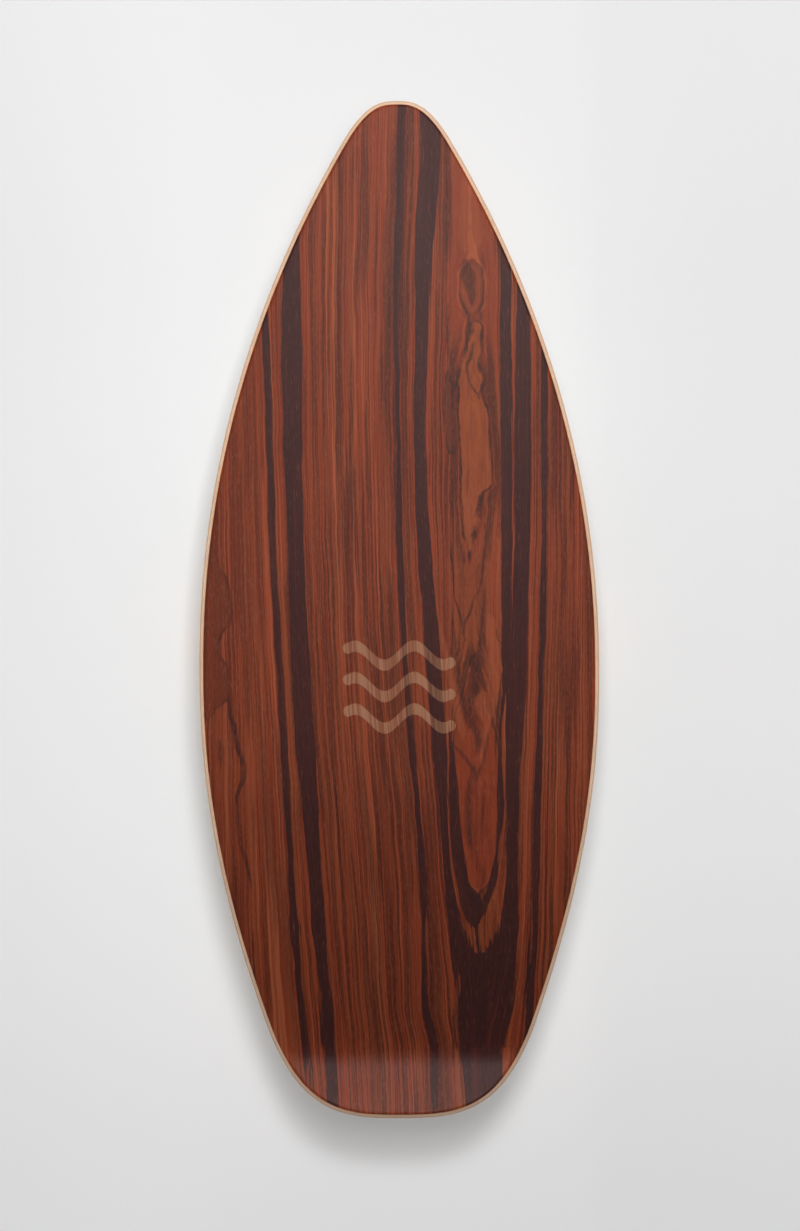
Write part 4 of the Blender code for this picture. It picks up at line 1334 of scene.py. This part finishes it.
class BALANCE_BOARD_OT_stage(bpy.types.Operator):
    """Sets up the floor, the walls' light, the softboxes, the fill panels and the camera"""

    bl_idname = "balance_board.stage"
    bl_label = "Stage"

    def execute(self, context):
        stage = context.scene.balance_board_stage
        scene = context.scene
        scene.view_settings.view_transform = "Standard"
        self.lay_floor(stage)
        self.light_walls(scene, stage)
        for name, tilt, length, power, glossy in (
            ("gloss_softbox", stage.gloss_tilt, stage.gloss_length, stage.gloss_power, True),
            ("key_softbox", stage.key_tilt, stage.key_length, stage.key_power, False),
        ):
            way = Vector((math.sin(stage.softbox_right), math.sin(tilt), math.cos(tilt)))
            place = way * stage.softbox_distance
            self.hang_lamp(name, place, (stage.softbox_width, length), power, glossy)
        for side, x, y, share in (
            ("nose", 0, 1, stage.nose_fill),
            ("left", -1, 0, 1),
            ("tail", 0, -1, stage.tail_fill),
            ("right", 1, 0, 1),
        ):
            away, height = stage.fill_distance, stage.fill_height
            place = Vector((x * away, y * away, height * PANEL_MIDDLE))
            self.hang_lamp(f"fill_panel_{side}", place, (away * 2, height), stage.fill_power * share, False)
        self.place_camera(scene, stage)
        return {"FINISHED"}

    def lay_floor(self, stage):
        """A pale floor wide enough for low views, which passes into the backdrop away from the board."""
        corners = [(x * FLOOR_REACH, y * FLOOR_REACH, 0) for x, y in ((-1, -1), (1, -1), (1, 1), (-1, 1))]
        mesh = bpy.data.meshes.new("floor")
        mesh.from_pydata(corners, [], [(0, 1, 2, 3)])
        floor = add_object("floor", mesh)
        paint = Finish("floor")
        speck = paint.noise(paint.scaled(paint.place, 3), 3)
        shade = paint.blend(speck * 0.05, stage.floor, tinted(stage.floor, 0.9))
        # Painted light and shade: the floor is darker towards the tail and lighter to the left
        floor_painted_light = paint.along(paint.y, FLOOR_PAINTED_LIGHT_LENGTHWISE) * paint.along(paint.x, FLOOR_PAINTED_LIGHT_ACROSS)
        shade = paint.scaled(shade, floor_painted_light)
        # Painted tint that takes red out of the floor round the board, cancelling the warm light it bounces
        # there
        away = length_of(paint.x / (HALF_WIDTH / MM), paint.y / (NOSE_Y / MM * BOUNCE_TINT_LENGTH))
        bounce_tint = paint.blend(1 - away.rise(1, 2), (1, 1, 1), (0.94, 0.98, 1))
        shade = paint.vector_math("MULTIPLY", shade, bounce_tint)
        distance = length_of(paint.x, paint.y) * MM
        rays = paint.node("ShaderNodeLightPath", out="Is Camera Ray")
        far = rays.at_least(self.mirrored(rays)) * distance.rise(stage.clear, stage.clear + stage.fade)
        paint.feed(paint.shader.inputs["Emission Color"], paint.scaled((1, 1, 1), far * stage.backdrop))
        shade = paint.scaled(shade, 1 - far)
        dress(floor, paint.done(shade, 0.9, Specular_IOR_Level=0.0, Emission_Strength=1.0))

    def mirrored(self, rays):
        """1 for a ray that a gloss or a clear piece sends on, which sees the background too."""
        return rays["Is Glossy Ray"].at_least(rays["Is Transmission Ray"])

    def light_walls(self, scene, stage):
        """Lights the board like pale walls under a dark ceiling.

        The camera sees the backdrop all round, and a gloss sees it in place of the walls.
        """
        world = bpy.data.worlds.new("studio")
        world.use_nodes = True
        scene.world = world
        graph = Graph(world.node_tree)
        direction = graph.node("ShaderNodeTexCoord", out="Generated")
        upward = graph.axes(direction)[2]
        rays = graph.node("ShaderNodeLightPath", out="Is Camera Ray")
        strength, gloss = (
            graph.along(upward, [(WALL_TOP, walls), (CEILING_EDGE, stage.ceiling)])
            for walls in (stage.wall, stage.backdrop)
        )
        strength = strength + self.mirrored(rays) * (gloss - strength)
        strength = strength + rays * (stage.backdrop - strength)
        background = world.node_tree.nodes["Background"].inputs
        graph.feed(background["Strength"], strength)
        graph.feed(background["Color"], (1, 1, 1, 1))

    def hang_lamp(self, name, place, size, power, glossy):
        """A lamp at a place from the deck's middle, which it faces. It makes gloss where asked to."""
        lamp = bpy.data.lights.new(name, "AREA")
        lamp.shape = "RECTANGLE"
        lamp.size, lamp.size_y = size
        lamp.energy = power
        holder = add_object(name, lamp)
        holder.location = place + Vector((0, 0, UNDERSIDE_Z))
        holder.rotation_euler = place.to_track_quat("Z", "Y").to_euler()
        holder.visible_camera = False
        holder.visible_glossy = glossy

    def place_camera(self, scene, stage):
        """Looks straight down, with the deck's length over as many pixels as in the photograph."""
        data = bpy.data.cameras.new("camera")
        data.lens = stage.lens
        camera = add_object("camera", data)
        scene.camera = camera
        pixel = (NOSE_Y - TAIL_Y) / DECK_PIXELS
        distance = pixel * IMAGE_HEIGHT * data.lens / data.sensor_width
        off_x = (IMAGE_WIDTH / 2 - DECK_MIDDLE_PIXEL[0]) * pixel
        off_y = (DECK_MIDDLE_PIXEL[1] - IMAGE_HEIGHT / 2) * pixel
        camera.location = (off_x, off_y, UNDERSIDE_Z + DECK_THICKNESS + distance)
        camera.rotation_euler = (0, 0, -math.atan(LEAN_TO_LEFT))


class BALANCE_BOARD_OT_deck_layers(bpy.types.Operator):
    """Builds the plies and veneers of the deck, drilled and pressed up at the tail"""

    bl_idname = "balance_board.deck_layers"
    bl_label = "Deck layers"

    def execute(self, context):
        deck = context.scene.balance_board_deck
        kick = kick_shape(deck)
        drilled_top = max(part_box(name)[1].z for name in screw_nodes()) + SCREW_CLEARANCE
        low = 0.0
        numbers = range(PLIES, 0, -1)
        names = ["bottom_veneer", *(f"core_ply_{n}" for n in numbers), "top_veneer"]
        finishes = [birch_face(deck), *(birch_ply(deck, n) for n in numbers), rosewood_veneer(deck)]
        slots = ["birch_face", *["birch_ply"] * PLIES, "rosewood_veneer"]
        for node, finish, slot in zip(names, finishes, slots, strict=True):
            high = low + (PLY if node.startswith("core") else VENEER)
            rings = rim_rings(low, high, deck.edge_radius)
            layer = shift(add_object(f"deck_{node}", plate(node, rings)), (0, 0, UNDERSIDE_Z))
            if UNDERSIDE_Z + low < drilled_top:
                cut(layer, screw_holes())
            dress(layer, finish)
            kick.press(layer, finish)
            seat(smooth(layer, 30), node, "deck")
            low = high + GLUE_LINE
        return {"FINISHED"}


class BALANCE_BOARD_OT_stoppers(bpy.types.Operator):
    """Builds the two beech bars across the underside, countersunk for their screws"""

    bl_idname = "balance_board.stoppers"
    bl_label = "Stoppers"

    def execute(self, context):
        finish = beech("beech_stopper", context.scene.balance_board_fittings.beech, "X")
        for end in ("nose", "tail"):
            node = f"stopper_{end}"
            low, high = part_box(node)
            bar = rounded_slab(f"{end}_stopper_bar", *(high - low), STOPPER_ROUNDING, STOPPER_END_STEPS)
            cut(shift(bar, middle_of(low, high)), screw_holes(HOLE_MOUTH))
            seat(smooth(dress(bar, finish)), node, "deck")
        return {"FINISHED"}


class BALANCE_BOARD_OT_bumper_strips(bpy.types.Operator):
    """Builds the ribbed rubber strips on the stoppers' faces towards the roller"""

    bl_idname = "balance_board.bumper_strips"
    bl_label = "Bumper strips"

    def execute(self, context):
        fittings = context.scene.balance_board_fittings
        finish = black_rubber(fittings)
        for end, way in (("nose", -1), ("tail", 1)):
            node = f"bumper_strip_{end}"
            low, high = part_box(node)
            size = high - low
            backing = size.y - fittings.rib_height
            strip = rounded_slab(f"{end}_bumper_strip", size.x, backing, size.z, STRIP_ROUNDING, steps=3)
            back_y = high.y if way < 0 else low.y
            middle = middle_of(low, high)
            shift(strip, (middle.x, back_y + way * backing / 2, middle.z))
            length, height = size.x - 2 * RIB_END_GAP, size.z - 2 * RIB_EDGE_GAP
            ribs = rib_shape(fittings, length, height, back_y + way * backing, middle.z, way)
            ribs.press(strip, finish)
            seat(smooth(strip), node, "deck")
        return {"FINISHED"}


class BALANCE_BOARD_OT_screws(bpy.types.Operator):
    """Builds the countersunk wood screws that hold the stoppers"""

    bl_idname = "balance_board.screws"
    bl_label = "Screws"

    def execute(self, context):
        fittings = context.scene.balance_board_fittings
        finish = zinc_steel(fittings)
        for node in screw_nodes():
            low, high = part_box(node)
            head, length = (high.x - low.x) / 2, high.z - low.z
            core = head / 2 - THREAD_GROOVE
            profile = [
                (0, 0), (head - SCREW_HEAD_EDGE, 0), (head, SCREW_HEAD_EDGE), (head, SCREW_HEAD_RIM),
                (head / 2, SCREW_HEAD_RIM + head / 2), (head / 2, SCREW_NECK),
                (core, SCREW_NECK + THREAD_GROOVE), (core, length - SCREW_TIP), (0, length),
            ]
            screw = add_object(node.replace("screw_", "wood_screw_"), turned(node, profile, SCREW_STEPS))
            socket = [
                (0, -HOLE_MOUTH), (SOCKET_RADIUS, -HOLE_MOUTH), (SOCKET_RADIUS, SOCKET_DEPTH),
                (0, SOCKET_DEPTH + SOCKET_TIP),
            ]
            cut(screw, add_object("socket", turned("socket", socket, SOCKET_SIDES)))
            thread = thread_shape(fittings, SCREW_NECK, length - SCREW_TIP - SCREW_NECK, core)
            thread.press(screw, finish)
            shift(screw, (*middle_of(low, high).xy, low.z))
            seat(smooth(screw), node, "deck")
        return {"FINISHED"}


class BALANCE_BOARD_OT_floor_pads(bpy.types.Operator):
    """Builds the studded rubber pads under the nose and under the kick"""

    bl_idname = "balance_board.floor_pads"
    bl_label = "Floor pads"

    def execute(self, context):
        deck = context.scene.balance_board_deck
        fittings = context.scene.balance_board_fittings
        finish = black_rubber(fittings)
        kick = kick_shape(deck)
        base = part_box("floor_pad_nose")[0].z + fittings.stud_height
        inner, corner = PAD_INSET + PAD_ROUNDING, PAD_ROUNDING * 0.3
        top = UNDERSIDE_Z - GLUE_LINE
        rings = [
            (inner + PAD_SUPPORT, base), (inner, base), (PAD_INSET + corner, base + corner),
            (PAD_INSET, base + PAD_ROUNDING), (PAD_INSET, top), (inner, top),
        ]
        for end, way in (("nose", 1), ("tail", -1)):
            node = f"floor_pad_{end}"
            low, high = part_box(node)
            cut_y = low.y if way > 0 else high.y
            pad = add_object(f"{end}_floor_pad", plate(node, rings, (cut_y, way)))
            kick.press(pad, finish)
            stud_shape(fittings, high - low, middle_of(low, high)).press(pad, finish)
            seat(smooth(pad), node, "deck")
        return {"FINISHED"}


class BALANCE_BOARD_OT_cork_sleeve(bpy.types.Operator):
    """Builds the roller's sleeve of pressed cork"""

    bl_idname = "balance_board.cork_sleeve"
    bl_label = "Cork sleeve"

    def execute(self, context):
        roller = context.scene.balance_board_roller
        half = (ROLLER_HIGH.x - ROLLER_LOW.x) / 2
        shoulder, edge = half - CORK_ROUNDING, ROLLER_RADIUS - CORK_ROUNDING
        rows = int(2 * shoulder / CORK_ROW)
        outer = [(ROLLER_RADIUS, -shoulder + 2 * shoulder * n / rows) for n in range(1, rows)]
        profile = [
            (CORK_BORE, -half), *fillet((edge, -shoulder), CORK_ROUNDING, -90, 0), *outer,
            *fillet((edge, shoulder), CORK_ROUNDING, 0, 90), (CORK_BORE, half),
        ]
        sleeve = add_object("cork_sleeve", turned("cork_sleeve", profile, CORK_STEPS, "X"))
        cork_shape(roller).press(sleeve, cork(roller))
        shift(sleeve, ROLLER_CENTRE)
        seat(smooth(sleeve, 50), "roller_sleeve", "roller")
        return {"FINISHED"}


class BALANCE_BOARD_OT_core_tube(bpy.types.Operator):
    """Builds the plastic tube inside the cork"""

    bl_idname = "balance_board.core_tube"
    bl_label = "Core tube"

    def execute(self, context):
        low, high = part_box("roller_core")
        half, radius, chamfer = (high.x - low.x) / 2, (high.z - low.z) / 2, TUBE_CHAMFER
        inner = radius - TUBE_WALL
        profile = [
            (inner + chamfer, -half), (radius - chamfer, -half), (radius, chamfer - half),
            (radius, half - chamfer), (radius - chamfer, half), (inner + chamfer, half),
            (inner, half - chamfer), (inner, chamfer - half),
        ]
        tube = add_object("core_tube", turned("core_tube", profile, TUBE_STEPS, "X"))
        shift(tube, ROLLER_CENTRE)
        dress(tube, tube_plastic(context.scene.balance_board_roller))
        seat(smooth(tube), "roller_core", "roller_carrier")
        return {"FINISHED"}


class BALANCE_BOARD_OT_end_discs(bpy.types.Operator):
    """Builds the turned beech discs that plug the tube"""

    bl_idname = "balance_board.end_discs"
    bl_label = "End discs"

    def execute(self, context):
        roller = context.scene.balance_board_roller
        finish = beech("beech_disc", roller.disc, "Z")
        bore, spigot, flange = DISC_BORE, DISC_SPIGOT, ROLLER_HIGH.x + DISC_GAP
        rounding, chamfer, edge = DISC_ROUNDING, DISC_CHAMFER, DISC_EDGE
        for side in ("left", "right"):
            node = f"roller_end_{side}"
            low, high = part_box(node)
            rim = (high.z - low.z) / 2
            back, face = sorted((abs(low.x), abs(high.x)))
            profile = [
                (bore, back + chamfer), (bore + chamfer, back), (spigot - rounding, back),
                (spigot, back + rounding), (spigot, flange), (rim - edge, flange), (rim, flange + edge),
                *fillet((rim - rounding, face - rounding), rounding, 0, 90),
                *(point for share in DISC_GROOVES for point in self.groove(share * rim, face)),
                (bore + chamfer, face), (bore, face - chamfer),
            ]
            disc = add_object(f"{side}_end_disc", turned(node, profile, DISC_STEPS, "X"))
            if side == "left":
                disc.data.transform(Matrix.Rotation(math.pi, 4, "Z"))
            shift(disc, ROLLER_CENTRE)
            seat(smooth(dress(disc, finish)), node, "roller")
        return {"FINISHED"}

    def groove(self, radius, face):
        """A shallow round groove in the face, from its outer lip inwards."""
        angles = [math.pi * n / GROOVE_STEPS for n in range(GROOVE_STEPS + 1)]
        return [(radius + GROOVE_HALF_WIDTH * math.cos(a), face - GROOVE_DEPTH * math.sin(a)) for a in angles]


class BALANCE_BOARD_PT_panel(bpy.types.Panel):
    """Lists the builders and what they take"""

    bl_idname = "BALANCE_BOARD_PT_panel"
    bl_label = "Balance Board"
    bl_space_type = "VIEW_3D"
    bl_region_type = "UI"
    bl_category = "Balance Board"

    def draw(self, context):
        for group in GROUPS:
            box = self.layout.box()
            box.label(text=group.title())
            settings = getattr(context.scene, f"balance_board_{group}")
            for name in settings.bl_rna.properties.keys():
                if name not in ("rna_type", "name"):
                    box.prop(settings, name)
        for operator in OPERATORS:
            self.layout.operator(operator.bl_idname)


GROUPS = {
    "deck": BALANCE_BOARD_PG_deck,
    "fittings": BALANCE_BOARD_PG_fittings,
    "roller": BALANCE_BOARD_PG_roller,
    "stage": BALANCE_BOARD_PG_stage,
}
OPERATORS = (
    BALANCE_BOARD_OT_stage,
    BALANCE_BOARD_OT_deck_layers,
    BALANCE_BOARD_OT_stoppers,
    BALANCE_BOARD_OT_bumper_strips,
    BALANCE_BOARD_OT_screws,
    BALANCE_BOARD_OT_floor_pads,
    BALANCE_BOARD_OT_cork_sleeve,
    BALANCE_BOARD_OT_core_tube,
    BALANCE_BOARD_OT_end_discs,
)


def register():
    for group in (*GROUPS.values(), *OPERATORS, BALANCE_BOARD_PT_panel):
        bpy.utils.register_class(group)
    for name, group in GROUPS.items():
        setattr(bpy.types.Scene, f"balance_board_{name}", bpy.props.PointerProperty(type=group))


def unregister():
    for name in GROUPS:
        delattr(bpy.types.Scene, f"balance_board_{name}")
    for group in (BALANCE_BOARD_PT_panel, *reversed(OPERATORS), *reversed(GROUPS.values())):
        bpy.utils.unregister_class(group)


def main():
    register()
    for operator in OPERATORS:
        group, action = operator.bl_idname.split(".")
        getattr(getattr(bpy.ops, group), action)()


if __name__ == "__main__":
    main()
